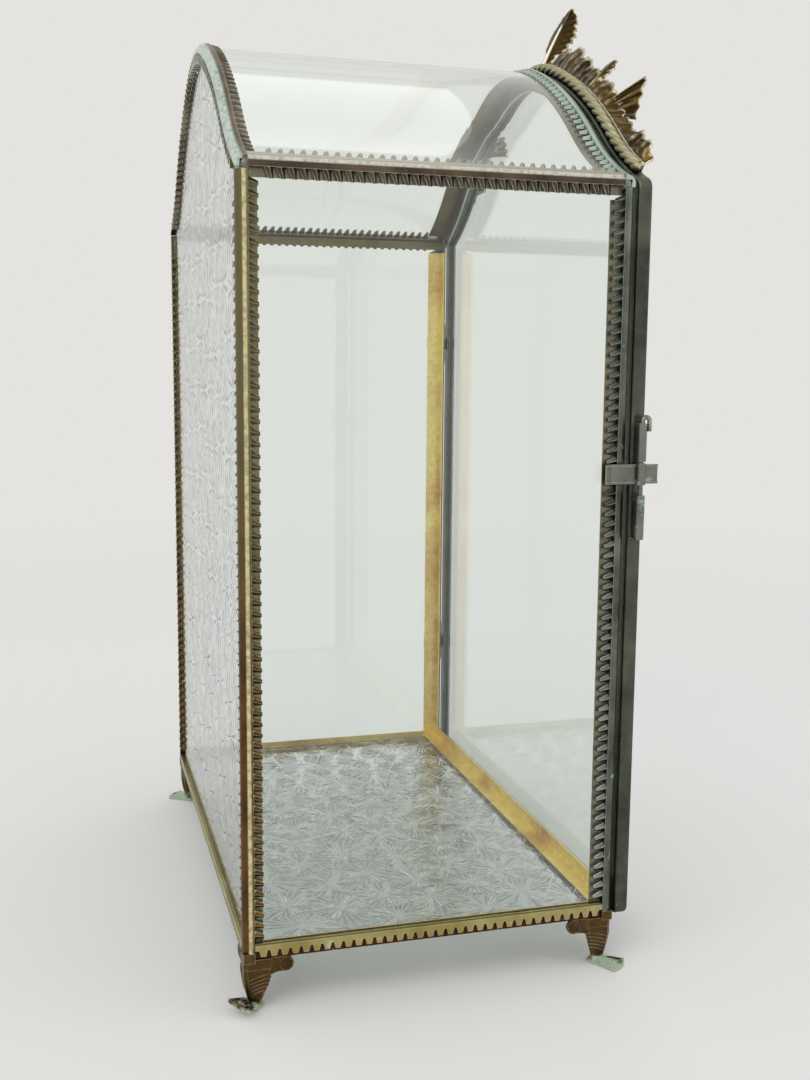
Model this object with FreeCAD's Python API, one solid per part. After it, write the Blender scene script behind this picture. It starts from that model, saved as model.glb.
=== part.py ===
import FreeCAD, Part
import math
import os
from collections import namedtuple

# A table-top vitrine: glass walls and a bent glass roof held in toothed brass edging, on four pressed feet.
# The arched door is on the front (-Y), hinged at its right edge (+X), with a latch at its left edge.
# Millimetres, +Z up. Heights are measured from the root of the base pegs, and the whole case is
# lifted onto its feet at the end.

Vector = FreeCAD.Vector
Leg = namedtuple("Leg", "inward outward")

# Case, measured over the glass
CASE_WIDTH = 216.0
CASE_DEPTH = 133.0
EAVE_HEIGHT = 260.0
CLEAR_GLASS = 2.2
PRESSED_GLASS = 3.0

# Gable: a crown arc, then on each side a haunch arc and a hollow flare, all tangent
CROWN_RADIUS = 64.0
CROWN_ANGLE = math.radians(20.0)
HAUNCH_RADIUS = 172.0
HAUNCH_ANGLE = math.radians(41.6)
FLARE_RADIUS = 110.0

# Outer edging: a rounded ridge with a row of leaning teeth on each leg
RIDGE_LEG = 2.5
RIDGE_RISE = 1.4
RIDGE_CROWN = 0.7
PLATE_SHEET = 0.7
TOOTH_PITCH = 3.7
TOOTH_LENGTH = 3.4
TOOTH_WIDTH = 3.1
TOOTH_TIP = 1.5
# Height of a tooth over the glass at its root and at its tip. The back teeth stand up more.
TOOTH_RISES = (1.3, 0.6)
BACK_TOOTH_RISES = (1.9, 1.6)
TOOTH_LEAN = -0.9
TOOTH_BITE = 0.3
ROOF_LIFT = 0.03
EAVE_COMB_LIFT = math.radians(24.0)
ROW_MARGIN = 6.5
GABLE_OVERHANG = 1.2
POST_TOP = EAVE_HEIGHT - 3.2
POST_FOOT = -0.8
POST_ROW_START = 3.0
POST_ROW_END = POST_TOP - 1.0

# Base strips: a flange under the glass, an apron outside it and a comb of hanging pegs on the apron
GLASS_FOOT = -1.5
FLANGE_REACH = 7.0
APRON_TOP = 2.3
APRON_FOOT = -3.2
APRON_SHEET = 0.7
COMB_TOP = 1.9
COMB_ROOT = 0.0
PEG_LENGTH = 2.2
PEG_ROOT = 2.9
PEG_TIP = 1.7
COMB_SHEET = 0.7
STRIP_MARGIN = RIDGE_LEG + 0.2

# Inner gilt angle strips
INNER_LEG = 5.0
INNER_SHEET = 0.5
FRONT_POST_LEG = 6.8
BACK_POST_LEG = 2.8
EAVE_WALL_LEG = 3.4
EAVE_ROOF_LEG = 1.5
GABLE_ROOF_LEGS = {"front": 8.5, "back": 3.2}
FRONT_SILL_LEG = 6.0
SILL_HEIGHTS = {"left": 0.9, "right": 3.3, "back": 3.3}

# Feet, pressed from sheet and open behind
FOOT_HEIGHT = 21.8
FOOT_SHEET = 1.1
COLLAR_FOOT = -6.8
COLLAR_SECTION = (3.9, 5.1, 1.2)
# Centre from the corner, half width, cut of the corners and height of the leg's sections
LEG_SECTIONS = (
    (3.8, 4.9, 1.2, COLLAR_FOOT),
    (3.7, 4.9, 1.3, -9.5),
    (3.4, 4.2, 1.3, -13.0),
    (3.0, 3.1, 1.0, -16.5),
    (2.8, 2.3, 0.7, -19.2),
    (2.8, 2.4, 0.6, 1.0 - FOOT_HEIGHT),
)
LEG_OPEN_FROM = -8.0
CAP_PROUD = 1.4
CAP_WIDTH = RIDGE_LEG + 0.1
CAP_FOOT = APRON_FOOT - 1.0
TOE_LENGTH = 10.5
TOE_WIDTH = 9.6
TOE_BOW = 1.2
HEEL_WIDTH = 5.0
TOE_SHEET = 1.2
ANKLE_CENTRE = 2.8
# The bent toe is rolled to one side and its tip is lifted, in degrees
TOE_ROLL = 9.0
TOE_LIFT = 17.0
WING_LENGTH = 14.5
WING_START = 1.5
WING_HEIGHT = 5.4
WING_KNEE = 9.0
WING_NECK = 4.0
WING_HOLLOW = (6.6, 6.2)
WING_SHEET = 1.2
WING_PROUD = 0.7
ROSETTE_RISE = 0.5
ROSETTE_RADII = (2.2, 0.95)

# Door
DOOR_GAP = 1.6
DOOR_SHEET = 1.5
DOOR_SLOT = 2.4
DOOR_FLANGE = 4.8
DOOR_BOTTOM = -3.6
DOOR_CORNER = 3.0
DOOR_SHOULDER = 4.0
DOOR_EDGE_ROUND = 1.2
PANE_PLAY = 0.15

# Hinges and latch
PIN_RADIUS = 0.8
PIN_PLAY = 0.05
KNUCKLE_RADIUS = 2.0
KNUCKLE_HEIGHT = 6.0
KNUCKLE_GAP = 0.3
LEAF_SHEET = 1.6
LEAF_PLATE = 0.8
LEAF_WIDTH = 2.0
STRAP_SHEET = 0.9
STRAP_GAP = 0.1
HINGE_HEIGHTS = {"lower": 52.0, "upper": 208.0}
STRAP_REACH = 11.5
PIN_HEAD_RADIUS = 1.4
PIN_HEAD_HEIGHT = 0.9
LATCH_HEIGHT = 160.0
LATCH_CLEARANCE = 0.35
LATCH_KNUCKLE_HEIGHT = 7.6
LATCH_KNUCKLE_RADIUS = 1.6
LATCH_STRAP_HEIGHT = 6.8
LATCH_STRAP_REACH = 13.4
LATCH_TAB_REACH = 6.7
LATCH_FLARE = 1.2
LATCH_LIP = (0.7, 0.35)
BARREL_PLATE = 4.6
LATCH_BARRELS = {"upper": (164.4, 177.6), "lower": (137.0, 152.5)}
LATCH_PIN_FOOT = 145.0
CROOK_RADIUS = 1.3
CROOK_LEG = 3.6

# Crest
ROPE_RADIUS = 2.0
ROPE_STEP = 1.75
ROPE_TURN = math.radians(30.0)
ROPE_Y = 0.3
ROPE_HALF_SPAN = 101.0
CREST_SHEET = 0.6
CREST_FOOT = (-1.5, 2.6)
LEAF_ROWS = 10
LEAF_COLUMNS = 4
LEAF_RIB = 0.6
LEAF_CUP = 0.25
LEAF_SERRATION = 0.12
CENTRE_LEAF_AXIS = Vector(0, -12.0, 29.0)
CENTRE_LEAF_CURL = 2.0
CENTRE_LEAF_FOLD = math.radians(55.0)
CENTRE_LEAF_FOOT = 6.0
# Widths of the leaves by the share of their length
CENTRE_LEAF_WIDTHS = ((0.0, 3.4), (0.3, 5.0), (0.42, 14.0), (0.62, 17.0), (0.85, 11.0), (1.0, 2.0))
CURL_LEAF_WIDTHS = ((0.0, 3.0), (0.4, 6.5), (0.75, 6.5), (1.0, 2.5))
CURL_LEAF_X = -48.0
CURL_LEAF_AXIS = Vector(-5.0, -7.0, 10.5)
CURL_LEAF_CURL = 2.0
RUFFLE_START = 7.6
RUFFLE_END_X = -98.0
RUFFLE_FOOT = 0.8
RUFFLE_ROWS = 3
PLEAT_PITCH = 2.3
PLEAT_DEPTH = 0.8
LOBE_LENGTH = 11.5
LOBE_DIP = 0.28
# Height and forward lean of the ruffle by the share of the way from the crown to the shoulder
RUFFLE_HEIGHTS = ((0.0, 8.5), (0.18, 11.0), (0.32, 8.0), (0.45, 7.0), (0.62, 8.5), (0.92, 7.5), (1.0, 4.0))
RUFFLE_LEANS = ((0.0, 6.0), (0.18, 6.0), (0.4, 4.5), (0.6, 6.0), (0.8, 5.5), (1.0, 3.0))
# Fan leaf: where its root leaves the arch, as x, height over the arch and lean, and its two end corners,
# as x, lean and z
FAN_ROOTS = ((-60.0, 5.0, 2.0), (-79.0, 3.0, 1.5))
FAN_ENDS = ((-74.0, 13.5, 303.0), (-66.0, 13.0, 288.0))
FAN_BOW = 1.2
FAN_PLEATS = 9
FAN_ROWS = 4

HALF_WIDTH = CASE_WIDTH / 2
HALF_DEPTH = CASE_DEPTH / 2
INNER_X = HALF_WIDTH - CLEAR_GLASS
INNER_BACK = HALF_DEPTH - PRESSED_GLASS
FLOOR_TOP = GLASS_FOOT + PRESSED_GLASS
SILL_TOP = FLOOR_TOP + FRONT_SILL_LEG
DOOR_THICKNESS = DOOR_SLOT + 2 * DOOR_SHEET
DOOR_BACK = -HALF_DEPTH - RIDGE_RISE - DOOR_GAP
DOOR_FRONT = DOOR_BACK - DOOR_THICKNESS
DOOR_MIDDLE = DOOR_BACK - DOOR_THICKNESS / 2
STRAP_X = HALF_WIDTH + RIDGE_RISE + STRAP_GAP
HINGE_X = STRAP_X + KNUCKLE_RADIUS
LATCH_INNER_X = STRAP_X + LATCH_CLEARANCE
LATCH_X = LATCH_INNER_X + LATCH_KNUCKLE_RADIUS
X_AXIS = Vector(1, 0, 0)
Y_AXIS = Vector(0, 1, 0)
Z_AXIS = Vector(0, 0, 1)
SIDES = {"left": -1, "right": 1}
ENDS = {"front": -1, "back": 1}


# General shapes

def box(low, high):
    """Box between two opposite corners, given as (x, y, z)."""
    size = [abs(b - a) for a, b in zip(low, high)]
    corner = Vector(*[min(a, b) for a, b in zip(low, high)])
    return Part.makeBox(size[0], size[1], size[2], corner)


def polygon(points):
    """Flat face with straight edges."""
    return Part.Face(Part.makePolygon(list(points) + [points[0]]))


def closed_face(edges):
    """Flat face inside a closed run of edges."""
    return Part.Face(Part.Wire(Part.__sortEdges__(edges)))


def faceted_solid(faces):
    """Solid from flat faces that close on themselves."""
    shell = Part.makeShell(faces)
    shell.sewShape()
    solid = Part.makeSolid(shell)
    if solid.Volume < 0:
        solid.reverse()
    return solid


def sheet_solid(rows, thickness):
    """Thin sheet over a grid of points, thickened along one direction."""
    under = [[point + thickness for point in row] for row in rows]
    faces = []
    last = len(rows[0]) - 1
    for i in range(len(rows) - 1):
        for j in range(last):
            for grid in (rows, under):
                faces.append(polygon([grid[i][j], grid[i + 1][j], grid[i + 1][j + 1]]))
                faces.append(polygon([grid[i][j], grid[i + 1][j + 1], grid[i][j + 1]]))
        for j in (0, last):
            faces.append(polygon([rows[i][j], rows[i + 1][j], under[i + 1][j], under[i][j]]))
    for i in (0, len(rows) - 1):
        for j in range(last):
            faces.append(polygon([rows[i][j], rows[i][j + 1], under[i][j + 1], under[i][j]]))
    return faceted_solid(faces)


def cylinder(x, y, low, high, radius):
    """Upright cylinder between two heights."""
    return Part.makeCylinder(radius, high - low, Vector(x, y, low))


def mirrored(shape, across):
    """Copy of a shape mirrored through the origin plane square to an axis."""
    return shape.mirror(Vector(0, 0, 0), across)


# Gable curve

class Gable:
    """The ogee outline that the roof, the gables and the door share.

    Distances along it run from the left eave to the right eave. An offset moves the curve out of the roof.
    """

    def __init__(self):
        crown = Vector(0, 0, 0)
        haunch = crown + self.normal(CROWN_ANGLE) * (CROWN_RADIUS - HAUNCH_RADIUS)
        flare = haunch + self.normal(HAUNCH_ANGLE) * (HAUNCH_RADIUS + FLARE_RADIUS)
        self.eave_angle = math.asin((flare.x - HALF_WIDTH) / FLARE_RADIUS)
        rise = Vector(0, 0, EAVE_HEIGHT - flare.z + FLARE_RADIUS * math.cos(self.eave_angle))
        self.flare_centre = flare + rise
        right = [
            (haunch + rise, HAUNCH_RADIUS, CROWN_ANGLE, HAUNCH_ANGLE),
            (flare + rise, -FLARE_RADIUS, HAUNCH_ANGLE, self.eave_angle),
        ]
        left = [(Vector(-c.x, 0, c.z), radius, -end, -start) for c, radius, start, end in reversed(right)]
        self.arcs = left + [(crown + rise, CROWN_RADIUS, -CROWN_ANGLE, CROWN_ANGLE)] + right
        self.joints = []
        self.length = 0.0
        for _, radius, start, end in self.arcs:
            self.length += abs(radius * (end - start))
            self.joints.append(self.length)

    @staticmethod
    def normal(angle):
        """Direction out of the roof where it leans by an angle from level."""
        return Vector(math.sin(angle), 0, math.cos(angle))

    def locate(self, distance):
        """Arc that holds a distance, and the lean of the curve there."""
        begin = 0.0
        for arc, end in zip(self.arcs, self.joints):
            if distance <= end or end == self.length:
                break
            begin = end
        _, radius, start, stop = arc
        turn = (stop - start) * (distance - begin) / abs(radius * (stop - start))
        return arc, start + turn

    def point(self, distance, offset=0.0):
        """Point on the curve, or out from it by an offset."""
        (centre, radius, _, _), angle = self.locate(distance)
        return centre + self.normal(angle) * (radius + offset)

    def frame(self, distance):
        """Directions along the curve and out of the roof."""
        angle = self.locate(distance)[1]
        return Vector(math.cos(angle), 0, -math.sin(angle)), self.normal(angle)

    def edges(self, offset=0.0, start=0.0, end=None):
        """Arcs of the curve between two distances."""
        end = self.length if end is None else end
        stops = [start] + [joint for joint in self.joints[:-1] if start < joint < end] + [end]
        edges = []
        for a, b in zip(stops, stops[1:]):
            middle = self.point((a + b) / 2, offset)
            first = self.point(a + 1e-9, offset)
            last = self.point(b, offset)
            edges.append(Part.Arc(first, middle, last).toShape())
        return edges

    def band(self, low, high, y_from, y_to, start=0.0, end=None):
        """Solid between two offsets of the curve, from one depth to another."""
        end = self.length if end is None else end
        edges = self.edges(low, start, end) + self.edges(high, start, end)
        for stop in (start, end):
            edges.append(Part.makeLine(self.point(stop, low), self.point(stop, high)))
        face = closed_face(edges)
        face.translate(Vector(0, y_from, 0))
        return face.extrude(Vector(0, y_to - y_from, 0))

    def distance_at(self, x):
        """Distance along the curve at a sideways place, found by halving."""
        low, high = 0.0, self.length
        while high - low > 1e-6:
            middle = (low + high) / 2
            low, high = (middle, high) if self.point(middle).x < x else (low, middle)
        return low


GABLE = Gable()


# Toothed edging

def bead_section(corner, one, two):
    """Outline of the rounded ridge that sits over a glass corner, with one leg on each pane."""
    foot_one = corner + one.inward * RIDGE_LEG
    foot_two = corner + two.inward * RIDGE_LEG
    top_one = foot_one + one.outward * RIDGE_RISE
    top_two = foot_two + two.outward * RIDGE_RISE
    crown = corner + (one.outward + two.outward).normalize() * RIDGE_CROWN
    lines = [(corner, foot_one), (foot_one, top_one), (top_two, foot_two), (foot_two, corner)]
    edges = [Part.makeLine(a, b) for a, b in lines]
    edges.append(Part.Arc(top_one, crown, top_two).toShape())
    return Part.Wire(Part.__sortEdges__(edges))


def tooth(root, along, leg, rises=TOOTH_RISES):
    """One leaning chisel tooth, rooted in the ridge, lower and narrower at its blunt tip."""
    root_rise, tip_rise = rises
    heel = root - leg.inward * TOOTH_BITE
    left = heel - along * (TOOTH_WIDTH / 2)
    right = heel + along * (TOOTH_WIDTH / 2)
    top = heel + leg.outward * root_rise
    tip = root + leg.inward * TOOTH_LENGTH + along * TOOTH_LEAN
    tip_left = tip - along * (TOOTH_TIP / 2)
    tip_right = tip + along * (TOOTH_TIP / 2)
    tip_top = tip + leg.outward * tip_rise
    faces = [
        polygon([left, top, tip_left]),
        polygon([top, tip_top, tip_left]),
        polygon([top, right, tip_right]),
        polygon([top, tip_right, tip_top]),
        polygon([tip_left, tip_top, tip_right]),
        polygon([left, tip_left, tip_right, right]),
        polygon([left, right, top]),
    ]
    return faceted_solid(faces)


def places(first, last):
    """Tooth places at the pitch, centred between two limits."""
    count = int((last - first) / TOOTH_PITCH)
    margin = (last - first - (count - 1) * TOOTH_PITCH) / 2
    return [first + margin + i * TOOTH_PITCH for i in range(count)]


def straight_teeth(start, along, first, last, leg, rises=TOOTH_RISES):
    """Row of teeth along a straight ridge that starts at a point."""
    root = start + leg.inward * RIDGE_LEG
    return [tooth(root + along * place, along, leg, rises) for place in places(first, last)]


def corner_legs(side, end):
    """Legs of a corner post: one on the back or front, one on the side pane."""
    face_leg = Leg(X_AXIS * -side, Y_AXIS * end)
    side_leg = Leg(Y_AXIS * -end, X_AXIS * side)
    return face_leg, side_leg


def corner_post(side, end):
    """Upright corner edging. A front post also has a smooth plate that frames the door opening."""
    corner = Vector(side * HALF_WIDTH, end * HALF_DEPTH, 0)
    face_leg, side_leg = corner_legs(side, end)
    ridge = Part.Face(bead_section(corner, face_leg, side_leg)).extrude(Z_AXIS * (POST_TOP - POST_FOOT))
    ridge.translate(Z_AXIS * POST_FOOT)
    parts = straight_teeth(corner, Z_AXIS, POST_ROW_START, POST_ROW_END, side_leg)
    if end == ENDS["back"]:
        last = POST_TOP - ROW_MARGIN
        parts += straight_teeth(corner, Z_AXIS, POST_ROW_START, last, face_leg, BACK_TOOTH_RISES)
    else:
        outer_x = side * (HALF_WIDTH - RIDGE_LEG + TOOTH_BITE)
        inner_x = side * (INNER_X - INNER_LEG)
        plate = box((outer_x, -HALF_DEPTH, SILL_TOP), (inner_x, -HALF_DEPTH - PLATE_SHEET, EAVE_HEIGHT))
        first = -GABLE_OVERHANG
        last = GABLE.length + GABLE_OVERHANG
        front = -HALF_DEPTH - RIDGE_RISE
        arch = GABLE.band(-RIDGE_LEG - INNER_LEG, RIDGE_RISE, -HALF_DEPTH, front, first, last)
        parts.append(plate.cut(arch))
    return ridge.multiFuse(parts)


def eave_strip(side):
    """Edging along an eave, with teeth down the side pane and a comb that stands up from the roof."""
    eave = GABLE.point(0.0)
    ridge_end = GABLE.point(RIDGE_LEG)
    teeth_end = GABLE.point(RIDGE_LEG + TOOTH_LENGTH)
    half = HALF_DEPTH - RIDGE_LEG
    corner = eave - Y_AXIS * half

    def roof_leg(low, high):
        up_roof = (high - low).normalize()
        return Leg(up_roof, Vector(-up_roof.z, 0, up_roof.x))

    side_leg = Leg(-Z_AXIS, -X_AXIS)
    ridge = Part.Face(bead_section(corner, side_leg, roof_leg(eave, ridge_end))).extrude(Y_AXIS * (2 * half))
    first = ROW_MARGIN - RIDGE_LEG
    teeth = straight_teeth(corner, Y_AXIS, first, 2 * half - first, side_leg)
    flat = roof_leg(ridge_end, teeth_end)
    cos_lift = math.cos(EAVE_COMB_LIFT)
    sin_lift = math.sin(EAVE_COMB_LIFT)
    inward = flat.inward * cos_lift + flat.outward * sin_lift
    leg = Leg(inward, flat.outward * cos_lift - flat.inward * sin_lift)
    start = ridge_end - Y_AXIS * half + flat.outward * (ROOF_LIFT + TOOTH_BITE * sin_lift)
    teeth += [tooth(start + Y_AXIS * place, Y_AXIS, leg) for place in places(first, 2 * half - first)]
    strip = ridge.multiFuse(teeth)
    return strip if side == SIDES["left"] else mirrored(strip, X_AXIS)


def gable_strip(end):
    """Edging over a gable. The back has teeth on both legs, the front a smooth plate on the door side."""
    depth = Y_AXIS * (end * HALF_DEPTH)
    first = -GABLE_OVERHANG
    last = GABLE.length + GABLE_OVERHANG
    path = Part.Wire(GABLE.edges(0.0, first, last))
    path.translate(depth)
    out_of_roof = GABLE.frame(first)[1]
    face_leg = Leg(-out_of_roof, Y_AXIS * end)
    roof_leg = Leg(Y_AXIS * -end, out_of_roof)
    section = bead_section(GABLE.point(first) + depth, face_leg, roof_leg)
    ridge = path.makePipeShell([section], True, False)
    parts = []
    for place in places(ROW_MARGIN, GABLE.length - ROW_MARGIN):
        along, outward = GABLE.frame(place)
        root = GABLE.point(place) + depth
        on_roof = root - Y_AXIS * (end * RIDGE_LEG) + outward * ROOF_LIFT
        parts.append(tooth(on_roof, along, Leg(Y_AXIS * -end, outward)))
        if end == ENDS["back"]:
            back_leg = Leg(-outward, Y_AXIS * end)
            parts.append(tooth(root - outward * RIDGE_LEG, along, back_leg, BACK_TOOTH_RISES))
    if end == ENDS["front"]:
        low = -RIDGE_LEG - INNER_LEG
        plate = GABLE.band(low, TOOTH_BITE - RIDGE_LEG, -HALF_DEPTH, -HALF_DEPTH - PLATE_SHEET)
        half = HALF_WIDTH - RIDGE_LEG
        between_posts = box((-half, -CASE_DEPTH, 0), (half, 0, 2 * EAVE_HEIGHT))
        parts.append(plate.common(between_posts))
    return ridge.multiFuse(parts)


def peg(root, along, outward):
    """One hanging peg of the base comb, narrower at its tip."""
    outline = [
        root - along * (PEG_ROOT / 2),
        root + along * (PEG_ROOT / 2),
        root + along * (PEG_TIP / 2) - Z_AXIS * PEG_LENGTH,
        root - along * (PEG_TIP / 2) - Z_AXIS * PEG_LENGTH,
    ]
    return polygon(outline).extrude(outward * COMB_SHEET)


def base_strip(length, flange_half, reach, outward, along, sill):
    """Base edging for one side: flange under the glass, apron outside it and a comb of hanging pegs.

    The flange runs to flange_half each way, the rest to length, and reach is how far out the glass is.
    """
    def bar(half, low, high, bottom, top):
        a = along * -half + outward * low + Z_AXIS * bottom
        b = along * half + outward * high + Z_AXIS * top
        return box((a.x, a.y, a.z), (b.x, b.y, b.z))

    face = reach + APRON_SHEET
    flange = bar(flange_half, reach - FLANGE_REACH, reach, GLASS_FOOT - PLATE_SHEET, GLASS_FOOT)
    parts = [bar(length, reach, face, APRON_FOOT, APRON_TOP)]
    parts.append(bar(length, face, face + COMB_SHEET, COMB_ROOT, COMB_TOP))
    if sill:
        parts.append(bar(HALF_WIDTH - RIDGE_LEG, reach, reach + PLATE_SHEET, 0.0, SILL_TOP))
    start = outward * face + Z_AXIS * COMB_ROOT - along * length
    parts += [peg(start + along * place, along, outward) for place in places(0.0, 2 * length)]
    return flange.multiFuse(parts)


# Inner angle strips

def inner_post(side, end):
    """Smooth gilt angle in an upright corner. A front one has a wide leg on the side pane."""
    x = side * INNER_X
    eave = GABLE.point(0.0, -CLEAR_GLASS).z
    if end == ENDS["back"]:
        y, face_leg, pane_leg, foot_level = INNER_BACK, BACK_POST_LEG, BACK_POST_LEG, FLOOR_TOP
    else:
        y, face_leg, pane_leg, foot_level = -HALF_DEPTH, INNER_LEG, FRONT_POST_LEG, SILL_TOP
    on_face = box((x, y, foot_level), (x - side * face_leg, y - end * INNER_SHEET, eave - INNER_LEG))
    on_pane = box((x, y, FLOOR_TOP), (x - side * INNER_SHEET, y - end * pane_leg, eave - INNER_LEG))
    return on_face.fuse(on_pane).removeSplitter()


def inner_eave(side):
    """Smooth gilt angle between a side pane and the roof."""
    low = GABLE.point(0.0, -CLEAR_GLASS).z - EAVE_WALL_LEG
    start = GABLE.distance_at(-INNER_X)
    stop = start + EAVE_ROOF_LEG
    roof_leg = GABLE.band(-CLEAR_GLASS - INNER_SHEET, -CLEAR_GLASS, -HALF_DEPTH, INNER_BACK, 0.0, stop)
    wall_leg = box((-INNER_X, -HALF_DEPTH, low), (INNER_SHEET - INNER_X, INNER_BACK, EAVE_HEIGHT))
    glass = GABLE.band(-CLEAR_GLASS, CLEAR_GLASS, -HALF_DEPTH, HALF_DEPTH)
    wall = box((-CASE_WIDTH, -CASE_DEPTH, low), (-INNER_X, CASE_DEPTH, EAVE_HEIGHT + INNER_LEG))
    strip = roof_leg.cut(wall).fuse(wall_leg.cut(glass)).removeSplitter()
    return strip if side == SIDES["left"] else mirrored(strip, X_AXIS)


def inner_gable(end_name):
    """Smooth gilt angle between a gable and the roof."""
    end = ENDS[end_name]
    back = end == ENDS["back"]
    y = INNER_BACK if back else -HALF_DEPTH
    face_depth = BACK_POST_LEG if back else INNER_LEG
    start = GABLE.distance_at(-INNER_X) + INNER_LEG
    stop = GABLE.length - start
    face_leg = GABLE.band(-CLEAR_GLASS - face_depth, -CLEAR_GLASS, y, y - end * INNER_SHEET, start, stop)
    roof_edge = y - end * GABLE_ROOF_LEGS[end_name]
    roof_leg = GABLE.band(-CLEAR_GLASS - INNER_SHEET, -CLEAR_GLASS, y, roof_edge, start, stop)
    return face_leg.fuse(roof_leg).removeSplitter()


def front_sill():
    """Wide gilt angle along the door's foot, between the front corner strips."""
    half = INNER_X - INNER_SHEET
    inner_y = FRONT_SILL_LEG - HALF_DEPTH
    floor_leg = box((-half, -HALF_DEPTH, FLOOR_TOP), (half, inner_y, FLOOR_TOP + INNER_SHEET))
    wall_leg = box((-half, -HALF_DEPTH, FLOOR_TOP), (half, INNER_SHEET - HALF_DEPTH, SILL_TOP))
    return floor_leg.fuse(wall_leg).removeSplitter()


def side_sill(name):
    """Gilt strip on edge along the foot of a side pane, between the corner strips."""
    side = SIDES[name]
    x = side * INNER_X
    top = FLOOR_TOP + SILL_HEIGHTS[name]
    front = FRONT_POST_LEG - HALF_DEPTH
    back = INNER_BACK - BACK_POST_LEG
    return box((x, front, FLOOR_TOP), (x - side * INNER_SHEET, back, top))


def back_sill():
    """Gilt strip on edge along the foot of the back pane, between the corner strips."""
    half = INNER_X - BACK_POST_LEG
    top = FLOOR_TOP + SILL_HEIGHTS["back"]
    return box((-half, INNER_BACK - INNER_SHEET, FLOOR_TOP), (half, INNER_BACK, top))


# Panes

def back_pane():
    """Pressed glass back with the gable outline, under the roof sheet."""
    edges = GABLE.edges(-CLEAR_GLASS)
    left = GABLE.point(0.0, -CLEAR_GLASS)
    right = GABLE.point(GABLE.length, -CLEAR_GLASS)
    corners = [right, Vector(right.x, 0, GLASS_FOOT), Vector(left.x, 0, GLASS_FOOT), left]
    edges += [Part.makeLine(a, b) for a, b in zip(corners, corners[1:])]
    face = closed_face(edges)
    face.translate(Y_AXIS * INNER_BACK)
    return face.extrude(Y_AXIS * PRESSED_GLASS)


def side_pane(side):
    """Clear side wall, up to the underside of the roof sheet."""
    top = GABLE.point(0.0, -CLEAR_GLASS).z
    return box((side * INNER_X, -HALF_DEPTH, GLASS_FOOT), (side * HALF_WIDTH, INNER_BACK, top))


# Feet

def rounded_square(centre, half, cut, height):
    """Square with cut corners at a height, as a wire for a loft."""
    inner = half - cut
    corners = [(half, -inner), (half, inner), (inner, half), (-inner, half),
               (-half, inner), (-half, -inner), (-inner, -half), (inner, -half)]
    points = [Vector(centre + x, centre + y, height) for x, y in corners]
    return Part.makePolygon(points + [points[0]])


def foot_wing():
    """Plate under the base strip, with a round end and a raised rosette. It runs along +X, facing -Y."""
    radius = WING_HEIGHT / 2
    end = WING_LENGTH - radius
    top = APRON_FOOT
    low = top - WING_HEIGHT
    rim = Vector(end, 0, top - radius)
    knee_foot = top - WING_KNEE
    knee = Vector(WING_NECK, 0, knee_foot)
    corners = [Vector(end, 0, top), Vector(0, 0, top), Vector(0, 0, knee_foot), knee]
    edges = [Part.makeLine(a, b) for a, b in zip(corners, corners[1:])]
    hollow = Vector(WING_HOLLOW[0], 0, top - WING_HOLLOW[1])
    edges.append(Part.Arc(knee, hollow, Vector(end, 0, low)).toShape())
    edges.append(Part.Arc(Vector(end, 0, low), rim + X_AXIS * radius, Vector(end, 0, top)).toShape())
    plate = closed_face(edges).extrude(Y_AXIS * WING_SHEET)
    rosette = Part.makeCone(*ROSETTE_RADII, ROSETTE_RISE, rim, -Y_AXIS)
    return plate.fuse(rosette)


def foot_toe(roll, lift):
    """Flat toe that widens along -X from the ankle. A roll raises its side towards -Y, a lift its tip."""
    heel = HEEL_WIDTH / 2
    half = TOE_WIDTH / 2
    shoulder = TOE_BOW - TOE_LENGTH
    sole = [Part.makeLine(Vector(0, y, 0), Vector(shoulder, y / heel * half, 0)) for y in (-heel, heel)]
    tip = Vector(-TOE_LENGTH, 0, 0)
    sole.append(Part.Arc(Vector(shoulder, -half, 0), tip, Vector(shoulder, half, 0)).toShape())
    sole.append(Part.makeLine(Vector(0, -heel, 0), Vector(0, heel, 0)))
    toe = closed_face(sole).extrude(Z_AXIS * TOE_SHEET)
    toe.rotate(Vector(0, half, 0), X_AXIS, -roll)
    toe.translate(Y_AXIS * (-TOE_SHEET * math.sin(math.radians(roll))))
    toe.rotate(Vector(0, 0, 0), Y_AXIS, lift)
    pad = box((-heel, -heel, 0), (heel, heel, TOE_SHEET))
    return pad.fuse(toe)


def foot_leg():
    """Tapering leg under the collar: two pressed faces that meet at the corner, open behind."""
    solid = Part.makeLoft([rounded_square(*row) for row in LEG_SECTIONS], True, True)
    hollow = solid.copy()
    hollow.translate(Vector(FOOT_SHEET, FOOT_SHEET, 0))
    below = box((-CASE_WIDTH, -CASE_DEPTH, -2 * FOOT_HEIGHT), (CASE_WIDTH, CASE_DEPTH, LEG_OPEN_FROM))
    return solid.cut(hollow.common(below))


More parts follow.
